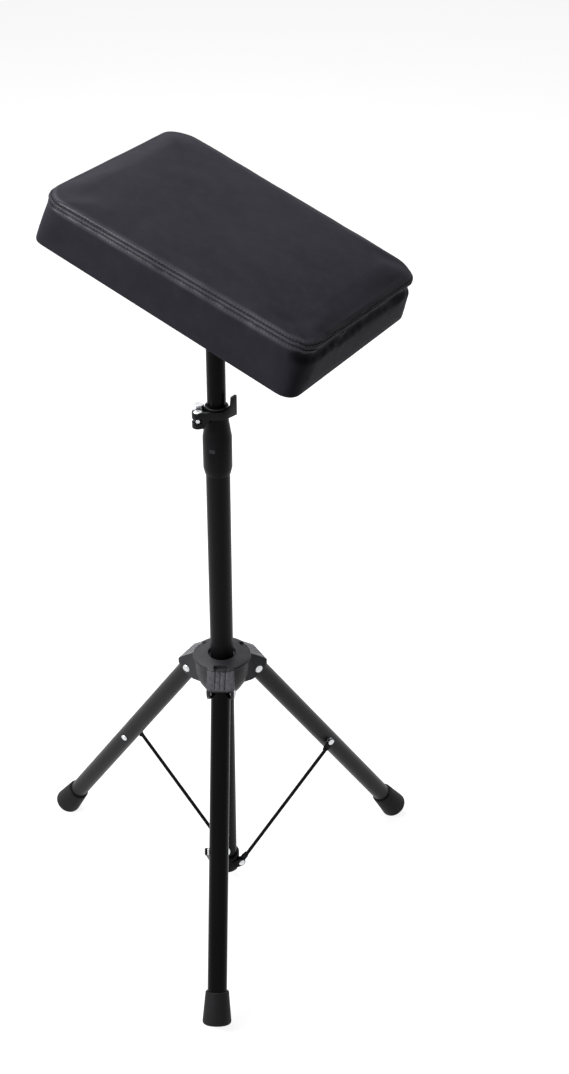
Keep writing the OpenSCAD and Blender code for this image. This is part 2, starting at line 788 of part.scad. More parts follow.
// Side outline of an arm, in shares of the leg pins' distance and of the disc's height
arm_shares = [[0.43, 0.91], [0.78, 0.91], [1.22, 0.47], [1.26, 0.39], [1.26, 0.19], [1.17, -0.03],
              [1.04, -0.25], [0.78, -0.41], [0.43, -0.41]];
roof_in = arm_shares[1];
roof_out = arm_shares[2];
roof_angle = atan2((roof_in[1] - roof_out[1])*hub_top, (roof_out[0] - roof_in[0])*pivot_r);

// Half section of the hub's body, from the bore outwards
module hub_section() {
    bore = outer_d/2 + fit;
    polygon([[bore, -hub_drop], for (s = bowl_shares) [s[0]*hub_r, -s[1]*hub_drop],
             for (s = dome_shares) [s[0]*hub_r, s[1]*hub_top], [bore, dome_shares[9][1]*hub_top]]);
}

module arm_side() polygon([for (s = arm_shares) [s[0]*pivot_r, s[1]*hub_top]]);

// The space that a leg sweeps between its open and folded places
module leg_sweep() {
    half = leg_d/2 + 2*gap;
    far = 3*leg_d;
    out = half*[cos(leg_angle), sin(leg_angle)];
    circle(r = channel_r);
    polygon([[-half, 0], [-half, -far], out + far*[sin(leg_angle), -cos(leg_angle)], out]);
}

// Extrudes an outline in a leg's upright plane to the width w
module slab(w) translate([0, w/2, 0]) rotate([90, 0, 0]) linear_extrude(height = w) children();

module leg_hub() {
    color(grey_black)
    translate([0, 0, hub_z])
    difference() {
        union() {
            rotate_extrude() hub_section();
            for (i = [0:2]) in_leg_plane(i) slab(arm_w) arm_side();
            in_knob() cylinder(d = hub_screw_d + 2*cheek_t, h = hub_r);
        }
        translate([0, 0, -2*hub_drop]) cylinder(d = outer_d + 2*fit, h = 4*hub_drop + hub_top);
        for (i = [0:2]) in_leg_plane(i) {
            slab(channel_w) translate([pivot_r, 0]) leg_sweep();
            translate([pivot_r, 0, 0]) rod_y(leg_pin_d + 2*seat, -arm_w, arm_w);
            translate([hub_r - notch_w/2, -notch_w/2, roof_in[1]*hub_top]) cube([notch_w, notch_w, hub_top]);
            for (y = [-1, 0, 1]) translate([roof_in[0]*pivot_r, y*channel_w/4, roof_in[1]*hub_top])
                rotate([0, 90 + roof_angle, 0]) cylinder(d = rib_d, h = 2*hub_r);
        }
        in_knob() cylinder(d = hub_screw_d + 2*fit, h = 2*hub_r);
    }
}

// Draws its children along the clamping screw, from the mast axis outwards
module in_knob()
    rotate([0, 0, base_turn + knob_turn]) translate([0, 0, knob_z]) rotate([0, 90, 0]) children();

module leg_pins() {
    color(zinc)
    for (i = [0:2]) in_leg_plane(i) translate([pivot_r, 0, hub_z]) {
        rod_y(leg_pin_d, -arm_w/2, arm_w/2);
        for (side = [0, 1]) mirror([0, side, 0]) translate([0, arm_w/2, 0]) rivet_head(leg_pin_d);
    }
}

module hub_knob() {
    color(soft_black)
    translate([0, 0, hub_z]) in_knob() translate([0, 0, hub_r + gap])
        lobed_knob(hub_knob_d, hub_knob_h, 5, hub_screw_d + 2*seat);
}

module hub_screw() {
    color(zinc)
    translate([0, 0, hub_z]) in_knob() translate([0, 0, outer_d/2 + gap])
        cylinder(d = hub_screw_d, h = hub_r + hub_knob_h - outer_d/2 - step);
}

// Legs

leg_end = leg_len - foot_floor_t;
leg_plug_l = 28;     // length of a plug inside the leg
leg_cap_h = 2;       // height of its bevelled cap

module leg(i) {
    color(black_steel)
    on_leg(i)
    difference() {
        translate([0, 0, -leg_end]) cylinder(d = leg_d, h = leg_end + leg_top);
        translate([0, 0, -leg_end - cut]) cylinder(d = leg_d - 2*leg_t, h = leg_end + leg_top + 2*cut);
        rod_y(leg_pin_d + 2*fit, -leg_d, leg_d);
        translate([0, 0, -rivet_down]) rod_y(brace_pin_d + 2*seat, -leg_d, leg_d);
    }
}

module leg_plug(i) {
    color(soft_black)
    on_leg(i)
    difference() {
        union() {
            translate([0, 0, leg_top - leg_plug_l]) cylinder(d = leg_d - 2*leg_t - 2*seat, h = leg_plug_l);
            translate([0, 0, leg_top])
                cylinder(d1 = leg_d - step, d2 = leg_d - step - 2*leg_cap_h, h = leg_cap_h);
        }
        rod_y(leg_pin_d + 2*fit, -leg_d, leg_d);
    }
}

// The foot: a rubber cup, flared to a rounded rim, cut flat where it meets the floor
module foot(i) {
    rim = foot_d/2 - foot_round;
    color(soft_black)
    difference() {
        on_leg(i) translate([0, 0, -leg_len])
        difference() {
            rotate_extrude() {
                polygon([[0, 0], [rim, 0], [foot_d/2, foot_round], [foot_d/2, foot_round + step],
                         [foot_top_d/2, foot_h - step], [foot_top_d/2 - step, foot_h], [0, foot_h]]);
                translate([rim, foot_round]) circle(r = foot_round);
            }
            translate([0, 0, foot_floor_t]) cylinder(d = leg_d + 2*seat, h = foot_h);
        }
        translate([-leg_len, -leg_len, -leg_len]) cube([2*leg_len, 2*leg_len, leg_len]);
    }
}

module leg_rivet(i) {
    color(zinc)
    on_leg(i) translate([0, 0, -rivet_down]) {
        rod_y(brace_pin_d, -leg_d/2 - spacer_t, leg_d/2);
        rod_y(brace_eye_d, -leg_d/2 - spacer_t, -leg_d/2);
        translate([0, leg_d/2, 0]) rivet_head(brace_pin_d);
    }
}

// Braces

flat_l = 16;         // length of a flattened end from its eye

// The rod and its flattened ends are flush on the side of the leg, so the rod passes the leg's
// rivet in the middle of the fold
module brace(i) {
    color(black_steel)
    on_brace(i)
    difference() {
        union() {
            translate([flat_l - brace_d, -(brace_d - brace_flat_t)/2, 0]) rotate([0, 90, 0])
                cylinder(d = brace_d, h = brace_len - 2*(flat_l - brace_d));
            for (end = [0, 1]) translate([end*brace_len, 0, 0]) mirror([end, 0, 0]) {
                rod_y(brace_eye_d, -brace_flat_t/2, brace_flat_t/2);
                rotate([90, 0, 0]) translate([0, 0, -brace_flat_t/2]) linear_extrude(height = brace_flat_t)
                    polygon([[0, -brace_eye_d/2], [flat_l - brace_d, -brace_eye_d/2], [flat_l, -brace_d/2],
                             [flat_l, brace_d/2], [flat_l - brace_d, brace_eye_d/2], [0, brace_eye_d/2]]);
            }
        }
        for (end = [0, 1]) translate([end*brace_len, 0, 0])
            rod_y(brace_pin_d + 2*fit, -brace_eye_d, brace_eye_d);
    }
}

module brace_rivet(i) {
    color(zinc)
    on_brace(i) translate([brace_len, 0, 0]) {
        rod_y(brace_pin_d, -brace_flat_t/2, brace_flat_t/2);
        mirror([0, 1, 0]) translate([0, brace_flat_t/2, 0]) rivet_head(brace_pin_d);
    }
}

module front_leg() leg(0);
module front_leg_plug() leg_plug(0);
module front_foot() foot(0);
module front_leg_rivet() leg_rivet(0);
module front_brace() brace(0);
module front_brace_rivet() brace_rivet(0);
module right_leg() leg(1);
module right_leg_plug() leg_plug(1);
module right_foot() foot(1);
module right_leg_rivet() leg_rivet(1);
module right_brace() brace(1);
module right_brace_rivet() brace_rivet(1);
module left_leg() leg(2);
module left_leg_plug() leg_plug(2);
module left_foot() foot(2);
module left_leg_rivet() leg_rivet(2);
module left_brace() brace(2);
module left_brace_rivet() brace_rivet(2);

outer_tube();
tube_end_plug();
lower_bracket();
bracket_pins();
clamp_collar();
ear_cap();
collar_bush();
barrel_pin();
clamp_bolt();
clamp_nut();
clamp_lever();
guide_bush();
inner_tube();
tilt_head();
head_rivet();
pad_bracket();
bracket_screws();
tilt_bolt();
tilt_washers();
tilt_knob();
knob_insert();
pad_board();
pad_foam();
pad_cover();
dust_cloth();
staples();
leg_hub();
leg_pins();
hub_knob();
hub_screw();
front_leg();
front_leg_plug();
front_foot();
front_leg_rivet();
front_brace();
front_brace_rivet();
right_leg();
right_leg_plug();
right_foot();
right_leg_rivet();
right_brace();
right_brace_rivet();
left_leg();
left_leg_plug();
left_foot();
left_leg_rivet();
left_brace();
left_brace_rivet();
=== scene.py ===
"""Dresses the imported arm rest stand: a stuffed, double-stitched cushion, moulded and painted
metal and plastic pieces with softened edges, and the studio that they are shown in."""

import json
import math

import bmesh
import bpy
from mathutils import Matrix, Vector, noise
from mathutils.bvhtree import BVHTree


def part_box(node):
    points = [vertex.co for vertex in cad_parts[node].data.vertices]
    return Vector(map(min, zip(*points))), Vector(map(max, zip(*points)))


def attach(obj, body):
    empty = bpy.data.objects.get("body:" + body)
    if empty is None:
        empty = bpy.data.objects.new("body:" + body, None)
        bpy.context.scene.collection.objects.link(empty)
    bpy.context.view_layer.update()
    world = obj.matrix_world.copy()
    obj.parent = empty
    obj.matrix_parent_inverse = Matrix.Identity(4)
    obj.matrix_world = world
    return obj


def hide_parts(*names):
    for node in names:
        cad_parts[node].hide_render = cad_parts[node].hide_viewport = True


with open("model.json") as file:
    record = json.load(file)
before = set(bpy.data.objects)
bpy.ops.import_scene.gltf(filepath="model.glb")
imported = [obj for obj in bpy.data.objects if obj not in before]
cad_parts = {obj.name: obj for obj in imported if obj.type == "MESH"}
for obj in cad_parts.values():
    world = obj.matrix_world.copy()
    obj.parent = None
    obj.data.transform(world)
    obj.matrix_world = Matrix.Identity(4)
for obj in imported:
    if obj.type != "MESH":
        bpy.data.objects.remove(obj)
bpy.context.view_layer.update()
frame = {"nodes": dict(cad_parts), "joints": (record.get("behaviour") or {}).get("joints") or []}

bl_info = {
    "name": "Arm rest stand",
    "version": (1, 0, 0),
    "blender": (4, 5, 0),
    "location": "View3D > Sidebar > Arm rest",
    "description": "Dresses a padded arm rest on a folding tripod and sets its studio",
    "category": "Object",
}

LEGS = ("front", "right", "left")
TILT = next(j for j in frame["joints"] if j["name"] == "pad_tilt")


# Settings

def plain(name, description, default, **more):
    return bpy.props.FloatProperty(name=name, description=description, default=default, **more)


def metres(name, description, default):
    return plain(name, description, default, unit="LENGTH")


def watts(name, description, default):
    return plain(name, description, default, unit="POWER")


def turned(name, description, default):
    return plain(name, description, default, subtype="ANGLE")


def places(name, description, default, size=3):
    return bpy.props.FloatVectorProperty(name=name, description=description, default=default,
                                         size=size, unit="LENGTH")


def shade_of(name, description, default):
    return bpy.props.FloatVectorProperty(name=name, description=description, default=default,
                                         subtype="COLOR")


class CushionSettings(bpy.types.PropertyGroup):
    """Sizes of the stuffed cushion, in its own level frame over the tilt axis"""
    length: metres("Length", "Length at the seam", 0.363)
    width: metres("Width", "Width at the seam", 0.259)
    band: metres("Side band", "Height of the seam over the bottom edge", 0.0616)
    crown: metres("Crown", "Rise of the top over the seam", 0.016)
    fall: plain("Corner fall", "Share of the crown that is missing at a corner", 0.84)
    corner: metres("Corner radius", "Radius of the corners at the seam, seen from above", 0.0275)
    low_corners: places("Bottom corner radii", "Radius at the bottom: far left, near, right, back corner",
                        (0.014, 0.020, 0.012, 0.020), size=4)
    draw_in: metres("Draw-in", "How far the sides pull in between the corners", 0.0006)
    tilt: turned("Tilt", "Tilt at rest", math.radians(18))
    over_axis: metres("Over the axis", "Height of the bottom over the tilt axis", 0.0284)
    shift: metres("Shift", "Offset across the bracket", 0.004)
    flare: metres("Flare", "How far the bottom stands out past the seam", -0.0008)
    edge: metres("Bottom edge", "Radius of the bottom edge", 0.002)
    # near corner: first as the long side's end, then as the end side's start
    seam_lean: places("Seam lean", "Height over its mean: far left, near, near, right and back corner",
                      (-0.0042, 0.0082, 0.0052, -0.0024, -0.0016), size=5)
    inset: metres("Slack", "How much smaller the cover starts before it is filled", 0.0)
    pressure: plain("Pressure", "Pressure of the stuffing", 4.0)
    cap: metres("Cap", "Farthest that the stuffing may push a point", 0.0009)
    pucker: metres("Pucker", "Depth of the puckers under the seam", 0.0011)
    puff: metres("Puff", "Rise of the soft rolls beside the sewn rows", 0.0008)
    hollow: metres("Hollow", "Depth of the hollow under the seam on the low end", 0.0038)
    stitch: metres("Stitch", "Distance from one stitch to the next", 0.0042)
    thread: metres("Thread", "Thickness of the thread", 0.0009)
    row_gap: metres("Row gap", "Distance of each stitch row from the seam", 0.0028)


class FinishSettings(bpy.types.PropertyGroup):
    """Colours of the finishes"""
    cover: shade_of("Cover", "Artificial leather", (0.030, 0.0288, 0.037))
    thread: shade_of("Thread", "Sewing thread", (0.026, 0.026, 0.030))
    paint: shade_of("Paint", "Powder coat on tubes", (0.0034, 0.0034, 0.004))
    plastic: shade_of("Plastic", "Moulded fittings", (0.0045, 0.0045, 0.0055))
    hub: shade_of("Hub", "Glass-filled nylon of the hub", (0.046, 0.046, 0.051))
    rubber: shade_of("Rubber", "Rubber of the feet", (0.010, 0.010, 0.011))
    steel: shade_of("Steel", "Zinc-plated fasteners", (0.72, 0.73, 0.75))


class StageSettings(bpy.types.PropertyGroup):
    """The camera, the floor and the lamps"""
    camera_at: places("Camera", "Place of the camera", (1.0206, -1.4906, 1.7231))
    pitch: turned("Pitch", "How far the camera looks down", math.radians(32.41))
    roll: turned("Roll", "Roll of the camera", math.radians(0.16))
    turn: turned("Turn", "Turn of the camera about the vertical", math.radians(31.79))
    lens: plain("Lens", "Focal length for a long side of 24 mm", 37.80)
    key: watts("Key", "Power of the key lamp", 52.0)
    top: watts("Top", "Power of the overhead lamp", 71.0)
    fill: watts("Fill", "Power of the fill lamp", 7.0)
    ambient: plain("Ambient", "Strength of the world on matt surfaces", 0.06)


# Shader maths

class Value:
    """A node socket that takes part in Python expressions"""

    def __init__(self, shade, socket):
        self.shade, self.socket = shade, socket

    def _math(self, operation, *others):
        return self.shade.node("ShaderNodeMath", {"operation": operation}, dict(enumerate((self, *others))))

    def _from(self, operation, first):
        return self.shade.node("ShaderNodeMath", {"operation": operation}, {0: first, 1: self})

    def __add__(self, other): return self._math("ADD", other)
    def __radd__(self, other): return self._math("ADD", other)
    def __sub__(self, other): return self._math("SUBTRACT", other)
    def __rsub__(self, other): return self._from("SUBTRACT", other)
    def __mul__(self, other): return self._math("MULTIPLY", other)
    def __rmul__(self, other): return self._math("MULTIPLY", other)
    def __truediv__(self, other): return self._math("DIVIDE", other)
    def __rtruediv__(self, other): return self._from("DIVIDE", other)

    def range(self, low, high, to_low=0.0, to_high=1.0):
        """This value taken from low..high to to_low..to_high, and held at the ends"""
        return self.shade.node("ShaderNodeMapRange", {"interpolation_type": "SMOOTHSTEP"},
                               {"Value": self, "From Min": low, "From Max": high,
                                "To Min": to_low, "To Max": to_high})


class Shade:
    """A material with one Principled BSDF, and the nodes that feed it"""

    def __init__(self, name, **constants):
        self.material = bpy.data.materials.new(name)
        self.material.use_nodes = True
        self.tree = self.material.node_tree
        self.bsdf = self.tree.nodes["Principled BSDF"]
        for key, value in constants.items():
            self.bsdf.inputs[key.replace("_", " ")].default_value = value
        self.place = self.node("ShaderNodeTexCoord", out="Object")

    def node(self, kind, settings=None, inputs=None, out=0):
        """A new node with its settings, then its sockets' values or links. Gives the output named out."""
        made = self.tree.nodes.new(kind)
        for key, value in (settings or {}).items():
            setattr(made, key, value)
        for key, value in (inputs or {}).items():
            if isinstance(value, Value):
                self.tree.links.new(value.socket, made.inputs[key])
            else:
                made.inputs[key].default_value = value
        return Value(self, made.outputs[out])

    def feed(self, **links):
        for key, value in links.items():
            self.tree.links.new(value.socket, self.bsdf.inputs[key.replace("_", " ")])
        return self

    def attribute(self, name):
        """A value that a piece's mesh carries"""
        return self.node("ShaderNodeAttribute", {"attribute_name": name}, out="Fac")

    def mapped(self, scale=(1, 1, 1), turn=(0, 0, 0), centre=(0, 0, 0)):
        return self.node("ShaderNodeMapping", {"vector_type": "TEXTURE"},
                         {"Vector": self.place, "Scale": scale, "Rotation": turn, "Location": centre})

    def noise(self, scale, detail=2.0, roughness=0.5, at=None, out="Fac"):
        return self.node("ShaderNodeTexNoise", {"noise_dimensions": "3D"},
                         {"Vector": at or self.place, "Scale": scale,
                          "Detail": detail, "Roughness": roughness}, out)

    def cells(self, scale, at=None, feature="F1", out="Distance"):
        return self.node("ShaderNodeTexVoronoi", {"feature": feature},
                         {"Vector": at or self.place, "Scale": scale}, out)

    def blend(self, mask, first, second, mode="MIX"):
        """Colours mixed by a mask"""
        made = self.tree.nodes.new("ShaderNodeMix")
        made.data_type, made.blend_type = "RGBA", mode
        for index, value in ((0, mask), (6, first), (7, second)):
            if isinstance(value, Value):
                self.tree.links.new(value.socket, made.inputs[index])
            else:
                made.inputs[index].default_value = value
        return Value(self, made.outputs[2])

    def stitch_tucks(self, cushion):
        """1 in the tucks that the stitches pull into the cover beside each sewn row, 0 elsewhere"""
        girth = 2 * (cushion.length + cushion.width) - (8 - 2 * math.pi) * cushion.corner
        phase = self.attribute("around") * (2 * math.pi * int(girth / cushion.stitch))
        wave = self.node("ShaderNodeMath", {"operation": "COSINE"}, {0: phase}) * 0.5 + 0.5
        off = self.node("ShaderNodeMath", {"operation": "ABSOLUTE"}, {0: self.attribute("from_seam")})
        return wave * off.range(0.0024, 0.0034) * off.range(0.0056, 0.0078, 1.0, 0.0)

    def sewn_rows(self, cushion):
        """1 in the two sewn rows, 0 elsewhere"""
        off = self.node("ShaderNodeMath", {"operation": "ABSOLUTE"}, {0: self.attribute("from_seam")})
        gap, inner, outer = cushion.row_gap, 0.0002, 0.0011
        return off.range(gap - outer, gap - inner) * off.range(gap + inner, gap + outer, 1.0, 0.0)

    def worn_edges(self, radius, samples=4):
        """Normals rounded over the edges"""
        return self.node("ShaderNodeBevel", {"samples": samples}, {"Radius": radius})

    def bump(self, height, distance, strength=1.0, normal=None):
        inputs = {"Height": height, "Distance": distance, "Strength": strength}
        if normal:
            inputs["Normal"] = normal
        return self.node("ShaderNodeBump", None, inputs)


def tone(colour, k=1.0):
    return (colour[0] * k, colour[1] * k, colour[2] * k, 1.0)


def leather_material(finish, cushion):
    """Artificial leather: embossed grain, broad drift, a gloss where the seam's rolls rub, a painted
    highlight that lightens these rolls, and painted shade in the hollow under the seam and in the sewn
    grooves
    """
    s = Shade("cushion_leather", Specular_IOR_Level=0.03, Coat_Roughness=0.3, Coat_IOR=1.45)
    broad = s.noise(9.0, 3.0, 0.55)
    fine = s.noise(60.0, 4.0, 0.6)
    grain = s.cells(760.0, feature="DISTANCE_TO_EDGE")
    pores = s.cells(420.0)
    creases = s.noise(150.0, 5.0, 0.62)
    rolls = s.attribute("polish")
    tucks = s.stitch_tucks(cushion)
    colour = s.blend(broad.range(0.3, 0.7), tone(finish.cover, 0.86), tone(finish.cover, 1.14))
    colour = s.blend(fine.range(0.35, 0.75) * 0.35, colour, tone(finish.cover, 1.5))
    # Painted highlight: the seam's rolls are lightened towards 2.7 times the cover, less in the stitch tucks.
    # The same mask also gives them a coat and less roughness.
    colour = s.blend(rolls * (1.0 - tucks * 0.6), colour, tone(finish.cover, 2.7))
    # Painted shade in the hollow under the seam on the low end: the cover darkened towards 0.22 of its colour
    colour = s.blend(s.attribute("crease") * 0.75, colour, tone(finish.cover, 0.22))
    # Painted shade in the sewn grooves: the cover darkened towards 0.3 of its colour along the two rows
    colour = s.blend(s.sewn_rows(cushion) * 0.7, colour, tone(finish.cover, 0.3))
    rough = 0.56 + broad * 0.08 + fine * 0.06 - rolls * 0.12
    height = grain.range(0.0, 0.16) * 0.6 + pores * 0.25 + creases * 0.35 - tucks * 4.0
    return s.feed(Base_Color=colour, Roughness=rough, Coat_Weight=rolls * (0.6 + fine * 0.4),
                  Normal=s.bump(height, 0.00013, 0.5)).material


def thread_material(finish):
    s = Shade("sewing_thread", Specular_IOR_Level=0.4, Sheen_Weight=0.2)
    twist = s.node("ShaderNodeTexWave", {"wave_type": "BANDS", "bands_direction": "DIAGONAL"},
                   {"Vector": s.place, "Scale": 900.0, "Distortion": 1.0}, "Fac")
    lint = s.noise(300.0)
    colour = s.blend(lint.range(0.3, 0.7), tone(finish.thread, 0.75), tone(finish.thread, 1.3))
    return s.feed(Base_Color=colour, Roughness=0.5 + lint * 0.2, Normal=s.bump(twist, 0.0001, 0.5)).material


def paint_material(name, finish, gloss, rough=0.27):
    s = Shade(name, Specular_IOR_Level=gloss)
    orange_peel = s.noise(420.0, 3.0, 0.55)
    drift = s.noise(14.0, 3.0, 0.6)
    handling = s.noise(40.0, 6.0, 0.7, at=s.mapped(scale=(1, 1, 6)))
    colour = s.blend(drift.range(0.3, 0.75), tone(finish.paint, 0.85), tone(finish.paint, 1.25))
    rough = rough + drift * 0.05 + handling.range(0.45, 0.8) * 0.08
    normal = s.bump(orange_peel, 0.00005, 0.5, s.worn_edges(0.0004))
    return s.feed(Base_Color=colour, Roughness=rough, Normal=normal).material


def moulded_material(name, colour, rough, radius, spec=0.07, wear_and_highlight=0.35, painted_roof_light=False):
    """Moulded nylon: a fine spark-eroded texture, flow drift, edges that are rounded, rubbed and lightened,
    partly as wear and partly as a painted highlight, and where asked painted light on the roofs of the hub's
    arms
    """
    s = Shade(name, Specular_IOR_Level=spec, Coat_Roughness=0.2)
    spark = s.noise(1100.0, 2.0, 0.6)
    flow = s.noise(26.0, 4.0, 0.6)
    rub = s.noise(130.0, 5.0, 0.65)
    base = s.blend(flow.range(0.3, 0.7), tone(colour, 0.82), tone(colour, 1.18))
    base = s.blend(rub.range(0.55, 0.85) * 0.4, base, tone(colour, 1.7))
    roughness = rough + flow * 0.1 - rub.range(0.5, 0.9) * 0.08
    # The edges turn pale grey and get a coat: partly rubbed wear, partly a painted highlight
    edges = s.attribute("edge") * (0.55 + rub.range(0.3, 0.7) * 0.45)
    base = s.blend(edges * wear_and_highlight, base, (0.16, 0.16, 0.17, 1))
    if painted_roof_light:
        # Painted light on the roofs of the hub's arms, which face up and out towards the light: lighter grey
        # in streaks
        streaks = s.noise(260.0, 3.0, 0.6, at=s.mapped(scale=(1, 1, 9)))
        painted_roof_light_mask = s.attribute("roof") * streaks.range(0.3, 0.65, 0.45, 1.0)
        base = s.blend(painted_roof_light_mask, base, (0.15, 0.15, 0.165, 1))
    normal = s.bump(spark * 0.7 + rub * 0.3, 0.00012, 0.6, s.worn_edges(radius))
    return s.feed(Base_Color=base, Roughness=roughness, Coat_Weight=edges * wear_and_highlight, Normal=normal).material


def rubber_material(finish):
    s = Shade("foot_rubber", Specular_IOR_Level=0.14)
    skin = s.noise(800.0, 3.0, 0.6)
    scuffs = s.noise(55.0, 6.0, 0.7)
    colour = s.blend(scuffs.range(0.4, 0.8), tone(finish.rubber, 0.85), tone(finish.rubber, 1.7))
    rough = 0.52 + scuffs * 0.2
    normal = s.bump(skin, 0.0001, 0.5, s.worn_edges(0.0009))
    return s.feed(Base_Color=colour, Roughness=rough, Normal=normal).material


def steel_material(name, finish, blackened=False):
    """Bright steel. A blackened piece is bright only where it is ground."""
    s = Shade(name, Metallic=1.0)
    brushed = s.noise(240.0, 4.0, 0.6, at=s.mapped(scale=(1, 1, 5)))
    dull = s.noise(90.0, 4.0, 0.6)
    colour = s.blend(dull.range(0.35, 0.75), tone(finish.steel, 0.8), tone(finish.steel, 1.05))
    if blackened:
        colour = s.blend(s.attribute("ground"), (0.03, 0.03, 0.032, 1), colour)
    rough = 0.2 + dull * 0.16
    normal = s.bump(brushed, 0.00004, 0.5, s.worn_edges(0.0003))
    return s.feed(Base_Color=colour, Roughness=rough, Normal=normal).material


def plywood_material():
    s = Shade("plywood")
    grain = s.noise(18.0, 6.0, 0.65, at=s.mapped(scale=(8, 1, 1)))
    plies = s.node("ShaderNodeTexWave", {"wave_type": "BANDS", "bands_direction": "Z"},
                   {"Vector": s.place, "Scale": 120.0, "Distortion": 0.6}, "Fac")
    colour = s.blend(grain.range(0.3, 0.7), (0.42, 0.27, 0.13, 1), (0.62, 0.44, 0.24, 1))
    colour = s.blend(plies * 0.3, colour, (0.3, 0.18, 0.08, 1))
    return s.feed(Base_Color=colour, Roughness=0.6 + grain * 0.2, Normal=s.bump(grain, 0.0002, 0.4)).material


def foam_material():
    s = Shade("cushion_foam")
    cells = s.cells(700.0)
    colour = s.blend(cells.range(0.1, 0.6), (0.5, 0.42, 0.2, 1), (0.78, 0.7, 0.42, 1))
    return s.feed(Base_Color=colour, Roughness=0.8 + cells * 0.1, Normal=s.bump(cells, 0.0004, 0.7)).material


def lining_material():
    """Spun-bonded lining: pressed dots on a felted ground"""
    s = Shade("dust_cloth_lining", Specular_IOR_Level=0.25, Sheen_Weight=0.15)
    felt = s.noise(900.0, 4.0, 0.7)
    dots = s.cells(480.0)
    drift = s.noise(20.0, 3.0, 0.6)
    colour = s.blend(felt.range(0.3, 0.7), (0.008, 0.008, 0.009, 1), (0.022, 0.022, 0.024, 1))
    return s.feed(Base_Color=colour, Roughness=0.78 + drift * 0.15,
                  Normal=s.bump(dots.range(0.1, 0.5) * 0.6 + felt * 0.4, 0.0002, 0.7)).material


FINISH = {}


def finish(key):
    """The material of that name, made once"""
    if key not in FINISH:
        f = bpy.context.scene.arm_rest_finish
        makers = {
            "leather": lambda: leather_material(f, bpy.context.scene.arm_rest_cushion),
            "thread": lambda: thread_material(f),
            "mast_paint": lambda: paint_material("mast_powder_coat", f, 0.08, 0.38),
            "inner_paint": lambda: paint_material("inner_tube_paint", f, 0.05),
            "leg_paint": lambda: paint_material("leg_powder_coat", f, 0.19, 0.36),
            # A shaded copy of the leg paint for the front leg: it reflects less, so that leg reads darker
            # than the other two
            "front_leg_shaded_paint": lambda: paint_material("front_leg_paint", f, 0.06, 0.14),
            "plastic": lambda: moulded_material("black_nylon", f.plastic, 0.36, 0.0007),
            # The lever's edges are lightened strongly, mostly as a painted highlight
            "lever": lambda: moulded_material("lever_nylon", f.plastic, 0.25, 0.0009, 0.12, 0.9),
            "bush": lambda: moulded_material("bush_acetal", f.hub, 0.4, 0.0004),
            # The hub gets painted light on the roofs of its arms
            "hub": lambda: moulded_material("hub_nylon", f.hub, 0.38, 0.0012, 0.12, 0.6, True),
            "pin": lambda: steel_material("blackened_pin", f, True),
            "bracket": lambda: moulded_material("bracket_paint", f.plastic, 0.3, 0.0006),
            "rubber": lambda: rubber_material(f),
            "steel": lambda: steel_material("zinc_plated_steel", f),
            "plywood": plywood_material,
            "foam": foam_material,
            "lining": lining_material,
        }
        FINISH[key] = makers[key]()
    return FINISH[key]


# Mesh helpers

def deselect():
    if bpy.context.object and bpy.context.object.mode != "OBJECT":
        bpy.ops.object.mode_set(mode="OBJECT")
    bpy.ops.object.select_all(action="DESELECT")


def activate(obj):
    deselect()
    obj.select_set(True)
    bpy.context.view_layer.objects.active = obj
    return obj


def settle(obj):
    """Moves the object's place into its mesh"""
    activate(obj)
    bpy.ops.object.transform_apply(location=True, rotation=True, scale=True)
    return obj


def add_modifier(obj, kind, **settings):
    made = obj.modifiers.new(kind.title(), kind)
    for key, value in settings.items():
        setattr(made, key, value)
    return made


def apply_modifiers(obj):
    activate(obj)
    for made in list(obj.modifiers):
        bpy.ops.object.modifier_apply(modifier=made.name)
    return obj


def dress(obj, body, key, replaces=()):
    """Gives a finished piece its material and its body, and hides the nodes that it stands for"""
    if len(obj.data.materials) > 1:
        obj.data.polygons.foreach_set("material_index", [0] * len(obj.data.polygons))
    obj.data.materials.clear()
    obj.data.materials.append(finish(key))
    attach(obj, body)
    if replaces:
        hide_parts(*replaces)
    return obj


def coat(node, key):
    """Gives a CAD node its material"""
    obj = frame["nodes"][node]
    for slot in obj.material_slots:
        slot.material = finish(key)
    if not obj.material_slots:
        obj.data.materials.append(finish(key))


def mark(obj, name, test):
    """Sets an attribute to 1 on the faces that pass a test of their centre and normal"""
    layer = obj.data.attributes.get(name) or obj.data.attributes.new(name, "FLOAT", "FACE")
    for face in obj.data.polygons:
        if test(face.center, face.normal):
            layer.data[face.index].value = 1.0
    return obj


def softened(node, name, width, angle=32.0, segments=3, dissolve=1.5):
    """A copy of a CAD node, merged, cleaned and bevelled along its sharp edges"""
    deselect()
    source = frame["nodes"][node]
    obj = bpy.data.objects.new(name, source.data.copy())
    bpy.context.scene.collection.objects.link(obj)
    activate(obj)
    bpy.ops.object.mode_set(mode="EDIT")
    bpy.ops.mesh.select_all(action="SELECT")
    bpy.ops.mesh.remove_doubles(threshold=0.00001)
    bpy.ops.mesh.customdata_custom_splitnormals_clear()
    bpy.ops.mesh.dissolve_limited(angle_limit=math.radians(dissolve))
    bpy.ops.mesh.normals_make_consistent(inside=False)
    bpy.ops.object.mode_set(mode="OBJECT")
    obj.data.materials.clear()
    obj.data.materials.append(None)
    obj.data.materials.append(None)
    add_modifier(obj, "BEVEL", width=width, segments=segments, limit_method="ANGLE",
                 angle_limit=math.radians(angle), use_clamp_overlap=True, harden_normals=False,
                 miter_outer="MITER_ARC", material=1)
    apply_modifiers(obj)
    # The bevel's faces are marked as edges, which the moulded materials lighten as wear and as a painted
    # highlight
    edge = obj.data.attributes.new("edge", "FLOAT", "FACE")
    for face in obj.data.polygons:
        edge.data[face.index].value = float(face.material_index)
        face.material_index = 0
    bpy.ops.object.shade_smooth_by_angle(angle=math.radians(40))
    return obj


# Cushion

def level_to_place(cushion):
    """Takes the cushion's own level frame to its place over the tilt axis"""
    axis = Vector(TILT["pos_m"])
    return (Matrix.Translation(axis) @ Matrix.Rotation(cushion.tilt, 4, "Y")
            @ Matrix.Translation((0, cushion.shift, cushion.over_axis)))


